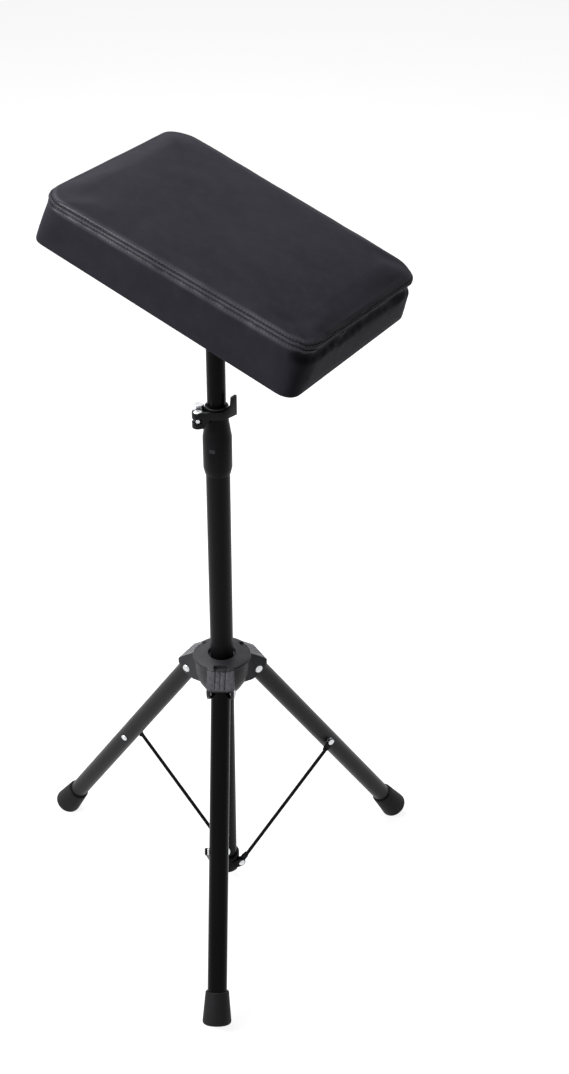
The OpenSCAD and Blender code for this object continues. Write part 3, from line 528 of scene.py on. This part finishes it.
class Round:
    """One closed line round the cushion, walked by steps. A side runs from mid-corner to mid-corner."""

    def __init__(self, cushion, long_steps=74, short_steps=52):
        self.cushion = cushion
        self.steps = [long_steps, short_steps, long_steps, short_steps]
        self.count = sum(self.steps)

    def side(self, i):
        """The side that a step lies on, and how far along it, from 0 to 1"""
        i %= self.count
        for side, steps in enumerate(self.steps):
            if i < steps:
                return side, i / steps
            i -= steps

    def point(self, i, grow=0.0, draw=0.0, height=1.0):
        """A point at a step. Sides 0 to 3 face -Y, +X, +Y and -X. grow moves it out, draw pulls the sides in.
        height is 0 at the bottom edge and 1 at the seam: the corners' radii change between them."""
        side, t = self.side(i)
        c = self.cushion
        half = (c.length / 2, c.width / 2) if side % 2 == 0 else (c.width / 2, c.length / 2)
        rise = height * height * (3 - 2 * height)
        lows = c.low_corners[side], c.low_corners[(side + 1) % 4]
        first, last = (low + (c.corner - low) * rise + grow for low in lows)
        reach, edge = half[0] + grow, half[1] + grow
        straight = 2 * reach - first - last
        s = t * (straight + math.pi / 4 * (first + last))
        if s < math.pi / 4 * first:
            a = s / first - math.pi / 4
            n = (math.sin(a), math.cos(a))
            along, out = first - reach + first * n[0], edge - first + first * n[1]
        elif s > straight + math.pi / 4 * first:
            a = (s - straight - math.pi / 4 * first) / last
            n = (math.sin(a), math.cos(a))
            along, out = reach - last + last * n[0], edge - last + last * n[1]
        else:
            walked = s - math.pi / 4 * first
            n = (0.0, 1.0)
            along, out = first - reach + walked, edge - draw * math.sin(math.pi * walked / straight)
        turn = Matrix.Rotation(math.pi / 2 * side, 2)
        here, facing = turn @ Vector((along, -out)), turn @ Vector((n[0], -n[1]))
        return here, facing

    def lean(self, i):
        """How far the seam lies over its mean height, from corner to corner"""
        side, t = self.side(i)
        at = self.cushion.seam_lean
        ends = ((at[0], at[1]), (at[2], at[3]), (at[3], at[4]), (at[4], at[0]))[side]
        return ends[0] + (ends[1] - ends[0]) * t


# Rows of the side band: share of the height, flare share and draw-in share
BAND_ROWS = [(0.0, 0.0, 0.0), (0.012, 0.7, 0.02), (0.035, 1.0, 0.05), (0.09, 1.0, 0.1),
             (0.16, 0.8, 0.3), (0.23, 0.55, 0.46),
             (0.3, 0.3, 0.6), (0.37, 0.15, 0.74), (0.44, 0.0, 0.86), (0.51, -0.2, 0.96), (0.58, -0.3, 1.0),
             (0.65, -0.3, 0.98), (0.72, -0.26, 0.92), (0.785, -0.2, 0.82), (0.84, -0.16, 0.7),
             (0.885, -0.12, 0.6),
             (0.92, -0.08, 0.5), (0.95, -0.04, 0.42), (0.976, 0.0, 0.35), (1.0, 0.0, 0.3)]
# Rings of the top, in shares of the plan
TOP_RINGS = [0.9985, 0.995, 0.989, 0.981, 0.970, 0.957, 0.942, 0.924, 0.902, 0.876, 0.846, 0.812]
CROWN_POWER = 5.4
CORNER_POWER = 11
# Passes that even out a patch and that smooth its height
EVEN_PASSES, SMOOTH_PASSES = 30, 60
SIM_FRAMES = 20


def crown_height(cushion, k, x, y):
    """Rise of the crown over the seam at a point of the ring of share k. It falls off at the corners."""
    corner = (4 * abs(x * y) / (k * k * cushion.length * cushion.width)) ** CORNER_POWER if k > 0 else 0.0
    full = cushion.crown * math.sqrt(max(0.0, 1 - k ** CROWN_POWER))
    return full * (1 - cushion.fall * k * min(1.0, corner))


def stuffed_body(cushion, inset=0.0):
    """The stuffed form, made of rows that follow the seam: band, rolled edge, crowned top and flat bottom"""
    line = Round(cushion)
    mesh = bmesh.new()
    from_seam = mesh.verts.layers.float.new("from_seam")
    around = mesh.verts.layers.float.new("around")
    count = line.count

    def row(points, distance):
        made = []
        for i, at in enumerate(points):
            v = mesh.verts.new(at)
            v[from_seam], v[around] = distance, (i + line.steps[3]) % count / count
            made.append(v)
        return made

    def bridge(low, high):
        for i in range(count):
            j = (i + 1) % count
            mesh.faces.new((low[i], low[j], high[j], high[i]))

    rows = []
    for share, flare, draw in BAND_ROWS:
        edge = cushion.edge * (1 - min(1.0, share / 0.035)) ** 2
        points = []
        for i in range(count):
            at, _ = line.point(i, flare * cushion.flare - edge - inset, draw * cushion.draw_in, share)
            points.append((at.x, at.y, share * (cushion.band + line.lean(i))))
        rows.append(row(points, (share - 1) * cushion.band))
    top_draw = BAND_ROWS[-1][2] * cushion.draw_in
    walked = 0.0
    before = (1.0, 0.0)
    for k in TOP_RINGS:
        points = []
        height = crown_height(cushion, k, 0, 0)
        for i in range(count):
            at, _ = line.point(i, -inset, top_draw)
            fade = max(0.0, 1 - (1 - k) / 0.16)
            rise = crown_height(cushion, k, at.x * k, at.y * k) - inset * (1 - k ** 20)
            points.append((at.x * k, at.y * k, cushion.band + line.lean(i) * fade + rise))
        walked += math.hypot((before[0] - k) * cushion.width / 2, height - before[1])
        before = (k, height)
        rows.append(row(points, walked))
    for low, high in zip(rows, rows[1:]):
        bridge(low, high)
    fill_patch(mesh, rows[-1], line.steps,
               lambda x, y: cushion.band - inset + crown_height(cushion, gauge(cushion, x, y), x, y),
               (from_seam, around), 0.1)
    fill_patch(mesh, rows[0], line.steps, lambda x, y: 0.0, (from_seam, around), -0.1, upward=False)
    bmesh.ops.recalc_face_normals(mesh, faces=mesh.faces)
    data = bpy.data.meshes.new("cushion_cover")
    mesh.to_mesh(data)
    mesh.free()
    body = bpy.data.objects.new("cushion_cover", data)
    bpy.context.scene.collection.objects.link(body)
    return body


def gauge(cushion, x, y):
    """The share of the plan whose outline passes through a point"""
    half_l, half_w, r = cushion.length / 2, cushion.width / 2, cushion.corner
    x, y = abs(x), abs(y)
    low, high = 0.0, 2.0
    for _ in range(24):
        k = (low + high) / 2
        qx, qy = x - k * (half_l - r), y - k * (half_w - r)
        inside = math.hypot(max(qx, 0), max(qy, 0)) + min(max(qx, qy), 0) <= k * r
        low, high = (low, k) if inside else (k, high)
    return high


def fill_patch(mesh, ring, steps, height, layers, distance, upward=True):
    """Fills a ring of four sides with a grid, evened out, at the height of a function of x and y"""
    nx, ny = steps[0], steps[1]
    bottom = ring[:nx + 1]
    right = ring[nx:nx + ny + 1]
    top = ring[nx + ny:2 * nx + ny + 1][::-1]
    left = (ring[2 * nx + ny:] + ring[:1])[::-1]
    flat = [[None] * (ny + 1) for _ in range(nx + 1)]
    for i in range(nx + 1):
        for j in range(ny + 1):
            u, v = i / nx, j / ny
            corners = ((1 - u) * (1 - v) * bottom[0].co + u * (1 - v) * bottom[-1].co
                       + (1 - u) * v * top[0].co + u * v * top[-1].co)
            flat[i][j] = ((1 - v) * bottom[i].co + v * top[i].co
                          + (1 - u) * left[j].co + u * right[j].co - corners)
    for _ in range(EVEN_PASSES):
        for i in range(1, nx):
            for j in range(1, ny):
                flat[i][j] = (flat[i - 1][j] + flat[i + 1][j] + flat[i][j - 1] + flat[i][j + 1]) / 4
    grid = {}
    for i in range(nx + 1):
        for j in range(ny + 1):
            if j == 0:
                grid[i, j] = bottom[i]
            elif j == ny:
                grid[i, j] = top[i]
            elif i == 0:
                grid[i, j] = left[j]
            elif i == nx:
                grid[i, j] = right[j]
            else:
                at = flat[i][j]
                v = mesh.verts.new((at.x, at.y, height(at.x, at.y)))
                v[layers[0]] = distance
                grid[i, j] = v
    for _ in range(SMOOTH_PASSES):
        for i in range(1, nx):
            for j in range(1, ny):
                grid[i, j].co.z = (grid[i - 1, j].co.z + grid[i + 1, j].co.z
                                   + grid[i, j - 1].co.z + grid[i, j + 1].co.z) / 4
    for i in range(nx):
        for j in range(ny):
            face = (grid[i, j], grid[i + 1, j], grid[i + 1, j + 1], grid[i, j + 1])
            mesh.faces.new(face if upward else face[::-1])


def blow_up(body, cushion):
    """Pressure pushes the cover out, with its bottom held, and no point moves past the cap"""
    start = [v.co.copy() for v in body.data.vertices]
    held = body.vertex_groups.new(name="held")
    for v in body.data.vertices:
        low = max(0.0, 1 - v.co.z / 0.010)
        if low > 0:
            held.add([v.index], min(1.0, low * 1.5), "REPLACE")
    cloth = add_modifier(body, "CLOTH")
    c = cloth.settings
    c.quality = 6
    c.mass = 0.3
    c.tension_stiffness, c.compression_stiffness, c.shear_stiffness = 22, 22, 10
    c.bending_stiffness = 1.2
    c.use_pressure, c.uniform_pressure_force = True, cushion.pressure
    c.effector_weights.gravity = 0
    c.vertex_group_mass = "held"
    cloth.point_cache.frame_start, cloth.point_cache.frame_end = 1, SIM_FRAMES
    scene = bpy.context.scene
    for number in range(1, SIM_FRAMES + 1):
        scene.frame_set(number)
    apply_modifiers(body)
    scene.frame_set(1)
    for v, at in zip(body.data.vertices, start):
        move = v.co - at
        if move.length > cushion.cap:
            v.co = at + move * (cushion.cap / move.length)
    body.vertex_groups.clear()


def rub_and_highlight_share(at, cushion):
    """How strongly the seam's rolls are glossed and carry the painted highlight at a point: most along the
    near side, where the light catches the seam, least on the ends
    """
    near = max(0.0, min(1.0, (-at.y - cushion.width / 2 + 0.045) / 0.03))
    from_left = max(0.0, min(1.0, (at.x + cushion.length / 2 - 0.01) / 0.04))
    from_right = max(0.0, min(1.0, (cushion.length / 2 + 0.004 - at.x) / 0.02))
    return 0.1 + 0.9 * near * from_left * from_right


# Distances from the seam: the rolls that are glossed and get the painted highlight, and the puffs. Depth of a
# sewn row, rise of the middle roll.
POLISHED_AND_LIT, PUFFED = (-0.0056, 0.0, 0.0056), (-0.0072, 0.0072)
ROW_DEPTH, ROLL_RISE = 0.0013, 0.0006


def sew(body, cushion):
    """Two sewn rows with a soft roll between and beside them, and puckers under them"""
    from_seam = [d.value for d in body.data.attributes["from_seam"].data]
    around = [d.value for d in body.data.attributes["around"].data]
    body.data.update()
    normals = [v.normal.copy() for v in body.data.vertices]
    polish = body.data.attributes.new("polish", "FLOAT", "POINT")
    crease = body.data.attributes.new("crease", "FLOAT", "POINT")
    for v, n, s in zip(body.data.vertices, normals, from_seam):
        rub = 0.7 + 0.6 * noise.noise(Vector((v.co.x * 30, v.co.y * 30, 4.1)))
        # Where the rolls are glossed and get the painted highlight, with a noisy strength, most on the near
        # side
        lit = sum(math.exp(-((s - at) / 0.0021) ** 2) for at in POLISHED_AND_LIT)
        polish.data[v.index].value = max(0.0, min(1.0, rub * lit * rub_and_highlight_share(v.co, cushion)))
    for v, n, s, turn in zip(body.data.vertices, normals, from_seam, around):
        if not -0.075 < s < 0.075:
            continue
        near = noise.noise(Vector((v.co.x * 42, v.co.y * 42, v.co.z * 20 + 3.3)))
        fine = noise.noise(Vector((v.co.x * 120, v.co.y * 120, v.co.z * 60)))
        side_on = abs(n.x) > abs(n.y)
        gap = cushion.row_gap * (1 + 0.05 * near)
        rows = sum(math.exp(-((s - r) / 0.00085) ** 2) for r in (-gap, gap))
        roll = math.exp(-(s / 0.0017) ** 2)
        puffs = sum(math.exp(-((s - r) / 0.0026) ** 2) for r in PUFFED)
        v.co += n * (-ROW_DEPTH * rows * (1 + 0.35 * fine) + ROLL_RISE * roll * (1 + 0.3 * near)
                     + cushion.puff * puffs * (1 + 0.5 * near))
        if s < -0.003 and v.co.z > 0.004:
            along, side = v.co.x, math.copysign(7.0, v.co.y)
            if side_on:
                along, side = v.co.y, math.copysign(3.0, v.co.x)
            fade = math.exp((s + 0.006) / 0.016)
            wave = noise.noise(Vector((along * 75, side, s * 26)))
            slow = noise.noise(Vector((along * 22, side + 9, s * 12)))
            v.co += n * (cushion.pucker * (1.0 if side_on else 0.4) * min(1.0, fade) * (wave + slow * 1.3))
        if v.co.x > 0 and s < 0:
            scallop = (0.0028 * noise.noise(Vector((v.co.y * 48, 2.5, 0.0)))
                       + 0.0016 * noise.noise(Vector((v.co.y * 120, 5.5, 0.0))))
            hollow = math.exp(-((s + 0.0115 - scallop) / 0.0062) ** 4) * max(0.0, min(1.0, n.x * 1.6 - 0.4))
            v.co -= n * cushion.hollow * hollow * (1 + 0.4 * near)
            # The hollow's depth also sets its painted shade
            crease.data[v.index].value = hollow


def set_in_place(obj, cushion):
    obj.data.transform(level_to_place(cushion))
    obj.data.update()
    return obj


SEWN = {}


class ARMREST_OT_cushion(bpy.types.Operator):
    """Makes the stuffed cushion cover and its seam"""
    bl_idname = "armrest.cushion"
    bl_label = "Cushion cover"

    def execute(self, context):
        cushion = context.scene.arm_rest_cushion
        deselect()
        body = stuffed_body(cushion, cushion.inset)
        blow_up(body, cushion)
        add_modifier(body, "SUBSURF", levels=1, render_levels=1)
        apply_modifiers(body)
        sew(body, cushion)
        activate(body)
        bpy.ops.object.shade_smooth()
        SEWN["surface"] = BVHTree.FromObject(body, context.evaluated_depsgraph_get())
        set_in_place(body, cushion)
        dress(body, "cushion", "leather", ("pad_cover", "pad_foam"))
        return {"FINISHED"}


class ARMREST_OT_stitching(bpy.types.Operator):
    """Sews the two rows of stitches along the seam"""
    bl_idname = "armrest.stitching"
    bl_label = "Stitching"

    def execute(self, context):
        cushion = context.scene.arm_rest_cushion
        deselect()
        bpy.ops.mesh.primitive_uv_sphere_add(segments=6, ring_count=4, radius=0.5)
        single = bpy.context.object
        single.scale = (cushion.stitch * 0.74, cushion.thread, cushion.thread)
        bpy.ops.object.transform_apply(location=True, rotation=True, scale=True)
        shape = bmesh.new()
        shape.from_mesh(single.data)
        bpy.data.objects.remove(single)
        line = Round(cushion)
        rows = bmesh.new()
        path = []
        for i in range(line.count + 1):
            at, out = line.point(i, 0.0, BAND_ROWS[-1][2] * cushion.draw_in)
            path.append((Vector((at.x, at.y, cushion.band + line.lean(i))), Vector((out.x, out.y, 0))))
        lengths = [0.0]
        for (a, _), (b, _) in zip(path, path[1:]):
            lengths.append(lengths[-1] + (b - a).length)
        count = int(lengths[-1] / cushion.stitch)
        for row in (-1, 1):
            step = 0
            for i in range(count):
                s = (i + 0.5 * (row > 0)) * lengths[-1] / count
                while step < len(lengths) - 2 and lengths[step + 1] < s:
                    step += 1
                t = (s - lengths[step]) / (lengths[step + 1] - lengths[step])
                at = path[step][0].lerp(path[step + 1][0], t)
                out = path[step][1].lerp(path[step + 1][1], t).normalized()
                along = (path[step + 1][0] - path[step][0]).normalized()
                if row < 0:
                    probe = at + out * 0.004 - Vector((0, 0, cushion.row_gap))
                else:
                    probe = at - out * cushion.row_gap * 0.62 + Vector((0, 0, cushion.row_gap * 0.78))
                hit, normal, _, _ = SEWN["surface"].find_nearest(probe)
                along = (along - normal * along.dot(normal)).normalized()
                turned = Matrix((along, normal.cross(along), normal)).transposed().to_4x4()
                turned.translation = hit + normal * cushion.thread * 0.1
                copy = {v: rows.verts.new(turned @ v.co) for v in shape.verts}
                for face in shape.faces:
                    rows.faces.new([copy[v] for v in face.verts]).smooth = True
        mesh = bpy.data.meshes.new("seam_stitches")
        rows.to_mesh(mesh)
        rows.free()
        shape.free()
        stitches = bpy.data.objects.new("seam_stitches", mesh)
        context.scene.collection.objects.link(stitches)
        set_in_place(stitches, cushion)
        dress(stitches, "cushion", "thread")
        return {"FINISHED"}


class ARMREST_OT_dust_cloth(bpy.types.Operator):
    """Makes the dust cloth under the board"""
    bl_idname = "armrest.dust_cloth"
    bl_label = "Dust cloth"

    def execute(self, context):
        cushion = context.scene.arm_rest_cushion
        deselect()
        length, width = cushion.length - 0.032, cushion.width - 0.032
        bpy.ops.mesh.primitive_grid_add(x_subdivisions=110, y_subdivisions=76, size=1)
        cloth = bpy.context.object
        cloth.name = "dust_cloth_sheet"
        cloth.scale = (length, width, 1)
        bpy.ops.object.transform_apply(location=True, rotation=True, scale=True)
        for v in cloth.data.vertices:
            edge = min(length / 2 - abs(v.co.x), width / 2 - abs(v.co.y))
            ripple = noise.noise(Vector((v.co.x * 26, v.co.y * 26, 1.7)))
            held = min(1.0, edge / 0.02)
            v.co.z = -0.0006 + 0.00025 * ripple * held - 0.0002 * (1 - held)
        add_modifier(cloth, "SOLIDIFY", thickness=0.0005, offset=0)
        apply_modifiers(cloth)
        bpy.ops.object.shade_smooth_by_angle(angle=math.radians(40))
        set_in_place(cloth, cushion)
        dress(cloth, "cushion", "lining", ("dust_cloth",))
        coat("pad_board", "plywood")
        coat("pad_foam", "foam")
        coat("staples", "steel")
        return {"FINISHED"}


# Metal and plastic pieces

class ARMREST_OT_tubes(bpy.types.Operator):
    """Paints the mast's tubes, the legs and the braces"""
    bl_idname = "armrest.tubes"
    bl_label = "Tubes and braces"

    def execute(self, context):
        coat("outer_tube", "mast_paint")
        coat("inner_tube", "inner_paint")
        for leg in LEGS:
            # The front leg gets the shaded copy of the leg paint
            coat(f"{leg}_leg", "front_leg_shaded_paint" if leg == "front" else "leg_paint")
            coat(f"{leg}_brace", "mast_paint")
        return {"FINISHED"}


def leg_ways():
    """The direction of each leg, seen from above"""
    ways = []
    for leg in LEGS:
        low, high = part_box(f"{leg}_foot")
        ways.append(Vector((low[0] + high[0], low[1] + high[1])).normalized())
    return ways


ROOF_START, ROOF_HALF_WIDTH = 0.034, 0.019
# Depth of the collar's top rim that gets a painted highlight
GLINT_RIM_DEPTH = 0.0014


def is_roof(ways, at, n):
    """True on the sloping roofs of the hub's arms"""
    for way in ways:
        along, across = at.x * way.x + at.y * way.y, at.x * way.y - at.y * way.x
        outward = n.x * way.x + n.y * way.y
        if along > ROOF_START and abs(across) < ROOF_HALF_WIDTH and outward > 0.25 and n.z > 0.25:
            return True
    return False


class ARMREST_OT_fittings(bpy.types.Operator):
    """Softens the edges of the moulded and pressed fittings"""
    bl_idname = "armrest.fittings"
    bl_label = "Collar, lever, hub and brackets"

    def execute(self, context):
        for node, name, body, slot, key, width in (
            ("clamp_collar", "collar_moulding", "column", "black_plastic", "plastic", 0.0008),
            ("clamp_lever", "lever_moulding", "lever", "black_plastic", "lever", 0.0013),
            ("lower_bracket", "bracket_moulding", "column", "black_plastic", "plastic", 0.0007),
            ("leg_hub", "hub_casting", "hub", "hub_plastic", "hub", 0.0012),
            ("pad_bracket", "cushion_bracket", "cushion", "bracket_paint", "bracket", 0.0006),
            ("tilt_head", "mast_head", "inner_mast", "bracket_paint", "bracket", 0.0008),
            ("tilt_knob", "tilt_knob_grip", "tilt_knob_body", "black_plastic", "plastic", 0.0012),
            ("hub_knob", "hub_knob_grip", "hub_knob_body", "black_plastic", "plastic", 0.0010),
        ):
            piece = dress(softened(node, name, width), body, key, (node,))
            if node == "leg_hub":
                # The roofs are marked for the painted light that the hub's material puts on them
                ways = leg_ways()
                mark(piece, "roof", lambda at, n: is_roof(ways, at, n))
            if node == "clamp_collar":
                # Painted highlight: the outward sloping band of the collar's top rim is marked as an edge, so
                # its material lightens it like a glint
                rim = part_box(node)[1][2] - GLINT_RIM_DEPTH
                mark(piece, "edge",
                     lambda at, n: at.z > rim and 0.2 < n.z < 0.95 and at.x * n.x + at.y * n.y > 0)
        pin = dress(softened("barrel_pin", "barrel_pin_ground", 0.0004),
                    "column", "pin", ("barrel_pin",))
        mark(pin, "ground", lambda at, n: abs(n.z) > 0.5)
        return {"FINISHED"}


class ARMREST_OT_feet(bpy.types.Operator):
    """Makes the rubber feet"""
    bl_idname = "armrest.feet"
    bl_label = "Feet"

    def execute(self, context):
        for leg in LEGS:
            dress(softened(f"{leg}_foot", f"{leg}_foot_rubber", 0.0010, segments=3),
                  f"{leg}_leg_body", "rubber", (f"{leg}_foot",))
        return {"FINISHED"}


class ARMREST_OT_small_parts(bpy.types.Operator):
    """Finishes the bushes, plugs and fasteners"""
    bl_idname = "armrest.small_parts"
    bl_label = "Bushes, plugs and fasteners"

    def execute(self, context):
        for node in ["tube_end_plug"] + [f"{k}_leg_plug" for k in LEGS]:
            coat(node, "plastic")
        for node in ("collar_bush", "guide_bush"):
            coat(node, "bush")
        for node in (["ear_cap", "bracket_pins", "clamp_bolt", "clamp_nut", "head_rivet", "bracket_screws",
                      "tilt_bolt", "tilt_washers", "knob_insert", "leg_pins", "hub_screw"]
                     + [f"{k}_leg_rivet" for k in LEGS] + [f"{k}_brace_rivet" for k in LEGS]):
            coat(node, "steel")
        return {"FINISHED"}


# Stage

FLOOR_SIZE, FLOOR_DROP = 40, 0.0004
FLOOR_MATT, FLOOR_GLOW = 0.4, 0.88
# Name of the power setting, size and place of each lamp
LAMPS = (("key", 0.9, (-1.35, -1.95, 1.85)), ("top", 2.0, (-1.2, 0.7, 2.9)), ("fill", 1.6, (1.3, 2.1, 1.3)))
LAMP_TARGET = (0, 0, 0.6)


def shown_ray(nodes, links):
    """1 for camera, glossy and transmission rays, 0 for others"""
    path = nodes.new("ShaderNodeLightPath")
    mask = path.outputs["Is Camera Ray"]
    for ray in ("Is Glossy Ray", "Is Transmission Ray"):
        either = nodes.new("ShaderNodeMath")
        either.operation = "MAXIMUM"
        links.new(mask, either.inputs[0])
        links.new(path.outputs[ray], either.inputs[1])
        mask = either.outputs[0]
    return mask


class ARMREST_OT_stage(bpy.types.Operator):
    """Sets the camera, the floor, the world and the lamps"""
    bl_idname = "armrest.stage"
    bl_label = "Stage"

    def execute(self, context):
        s = context.scene.arm_rest_stage
        scene = context.scene
        scene.view_settings.view_transform = "Standard"
        deselect()
        data = bpy.data.cameras.new("camera")
        data.sensor_fit, data.sensor_width, data.lens = "AUTO", 24.0, s.lens
        data.clip_start, data.clip_end = 0.05, 60
        camera = bpy.data.objects.new("camera", data)
        scene.collection.objects.link(camera)
        camera.location = s.camera_at
        camera.matrix_world = (Matrix.Translation(s.camera_at) @ Matrix.Rotation(s.turn, 4, "Z")
                               @ Matrix.Rotation(math.pi / 2 - s.pitch, 4, "X")
                               @ Matrix.Rotation(s.roll, 4, "Z"))
        scene.camera = camera

        bpy.ops.mesh.primitive_plane_add(size=FLOOR_SIZE, location=(0, 0, -FLOOR_DROP))
        floor = bpy.context.object
        floor.name = "floor"
        settle(floor)
        floor.data.materials.append(self.floor_material())

        world = scene.world or bpy.data.worlds.new("world")
        scene.world = world
        world.use_nodes = True
        nodes, links = world.node_tree.nodes, world.node_tree.links
        nodes.clear()
        power = nodes.new("ShaderNodeMapRange")
        links.new(shown_ray(nodes, links), power.inputs["Value"])
        power.inputs["To Min"].default_value = s.ambient
        power.inputs["To Max"].default_value = 1.0
        ground = nodes.new("ShaderNodeBackground")
        ground.inputs["Color"].default_value = (1, 1, 1, 1)
        links.new(power.outputs[0], ground.inputs["Strength"])
        out = nodes.new("ShaderNodeOutputWorld")
        links.new(ground.outputs[0], out.inputs["Surface"])

        for name, size, at in LAMPS:
            self.lamp(f"{name}_lamp", getattr(s, name), size, at)
        return {"FINISHED"}

    def lamp(self, name, power, size, at):
        data = bpy.data.lights.new(name, "AREA")
        data.energy, data.shape, data.size = power, "DISK", size
        lamp = bpy.data.objects.new(name, data)
        bpy.context.scene.collection.objects.link(lamp)
        towards = (Vector(LAMP_TARGET) - Vector(at)).to_track_quat("-Z", "Y")
        lamp.matrix_world = Matrix.Translation(at) @ towards.to_matrix().to_4x4()

    def floor_material(self):
        """White where it is seen or mirrored, with the object's shadow kept"""
        material = bpy.data.materials.new("studio_floor")
        material.use_nodes = True
        nodes, links = material.node_tree.nodes, material.node_tree.links
        nodes.clear()
        matt = nodes.new("ShaderNodeBsdfDiffuse")
        matt.inputs["Color"].default_value = (FLOOR_MATT, FLOOR_MATT, FLOOR_MATT, 1)
        glow = nodes.new("ShaderNodeEmission")
        glow.inputs["Color"].default_value = (1, 1, 1, 1)
        glow.inputs["Strength"].default_value = FLOOR_GLOW
        both = nodes.new("ShaderNodeAddShader")
        links.new(matt.outputs[0], both.inputs[0])
        links.new(glow.outputs[0], both.inputs[1])
        mix = nodes.new("ShaderNodeMixShader")
        links.new(shown_ray(nodes, links), mix.inputs[0])
        links.new(matt.outputs[0], mix.inputs[1])
        links.new(both.outputs[0], mix.inputs[2])
        out = nodes.new("ShaderNodeOutputMaterial")
        links.new(mix.outputs[0], out.inputs["Surface"])
        return material


class ARMREST_PT_panel(bpy.types.Panel):
    """Lists the pieces in the sidebar"""
    bl_idname = "ARMREST_PT_panel"
    bl_label = "Arm rest"
    bl_space_type = "VIEW_3D"
    bl_region_type = "UI"
    bl_category = "Arm rest"

    def draw(self, context):
        for setting in SETTINGS:
            group = getattr(context.scene, setting)
            box = self.layout.box()
            for key in group.__annotations__:
                box.prop(group, key)
        for operator in OPERATORS:
            self.layout.operator(operator.bl_idname)


SETTINGS = {"arm_rest_cushion": CushionSettings, "arm_rest_finish": FinishSettings,
            "arm_rest_stage": StageSettings}
OPERATORS = (ARMREST_OT_tubes, ARMREST_OT_small_parts, ARMREST_OT_fittings, ARMREST_OT_feet,
             ARMREST_OT_cushion, ARMREST_OT_stitching, ARMREST_OT_dust_cloth, ARMREST_OT_stage)
CLASSES = (*SETTINGS.values(), *OPERATORS, ARMREST_PT_panel)


def register():
    for cls in CLASSES:
        bpy.utils.register_class(cls)
    for name, group in SETTINGS.items():
        setattr(bpy.types.Scene, name, bpy.props.PointerProperty(type=group))


def unregister():
    for name in SETTINGS:
        delattr(bpy.types.Scene, name)
    for cls in reversed(CLASSES):
        bpy.utils.unregister_class(cls)


def main():
    register()
    for operator in OPERATORS:
        group, name = operator.bl_idname.split(".")
        getattr(getattr(bpy.ops, group), name)()


if __name__ == "__main__":
    main()
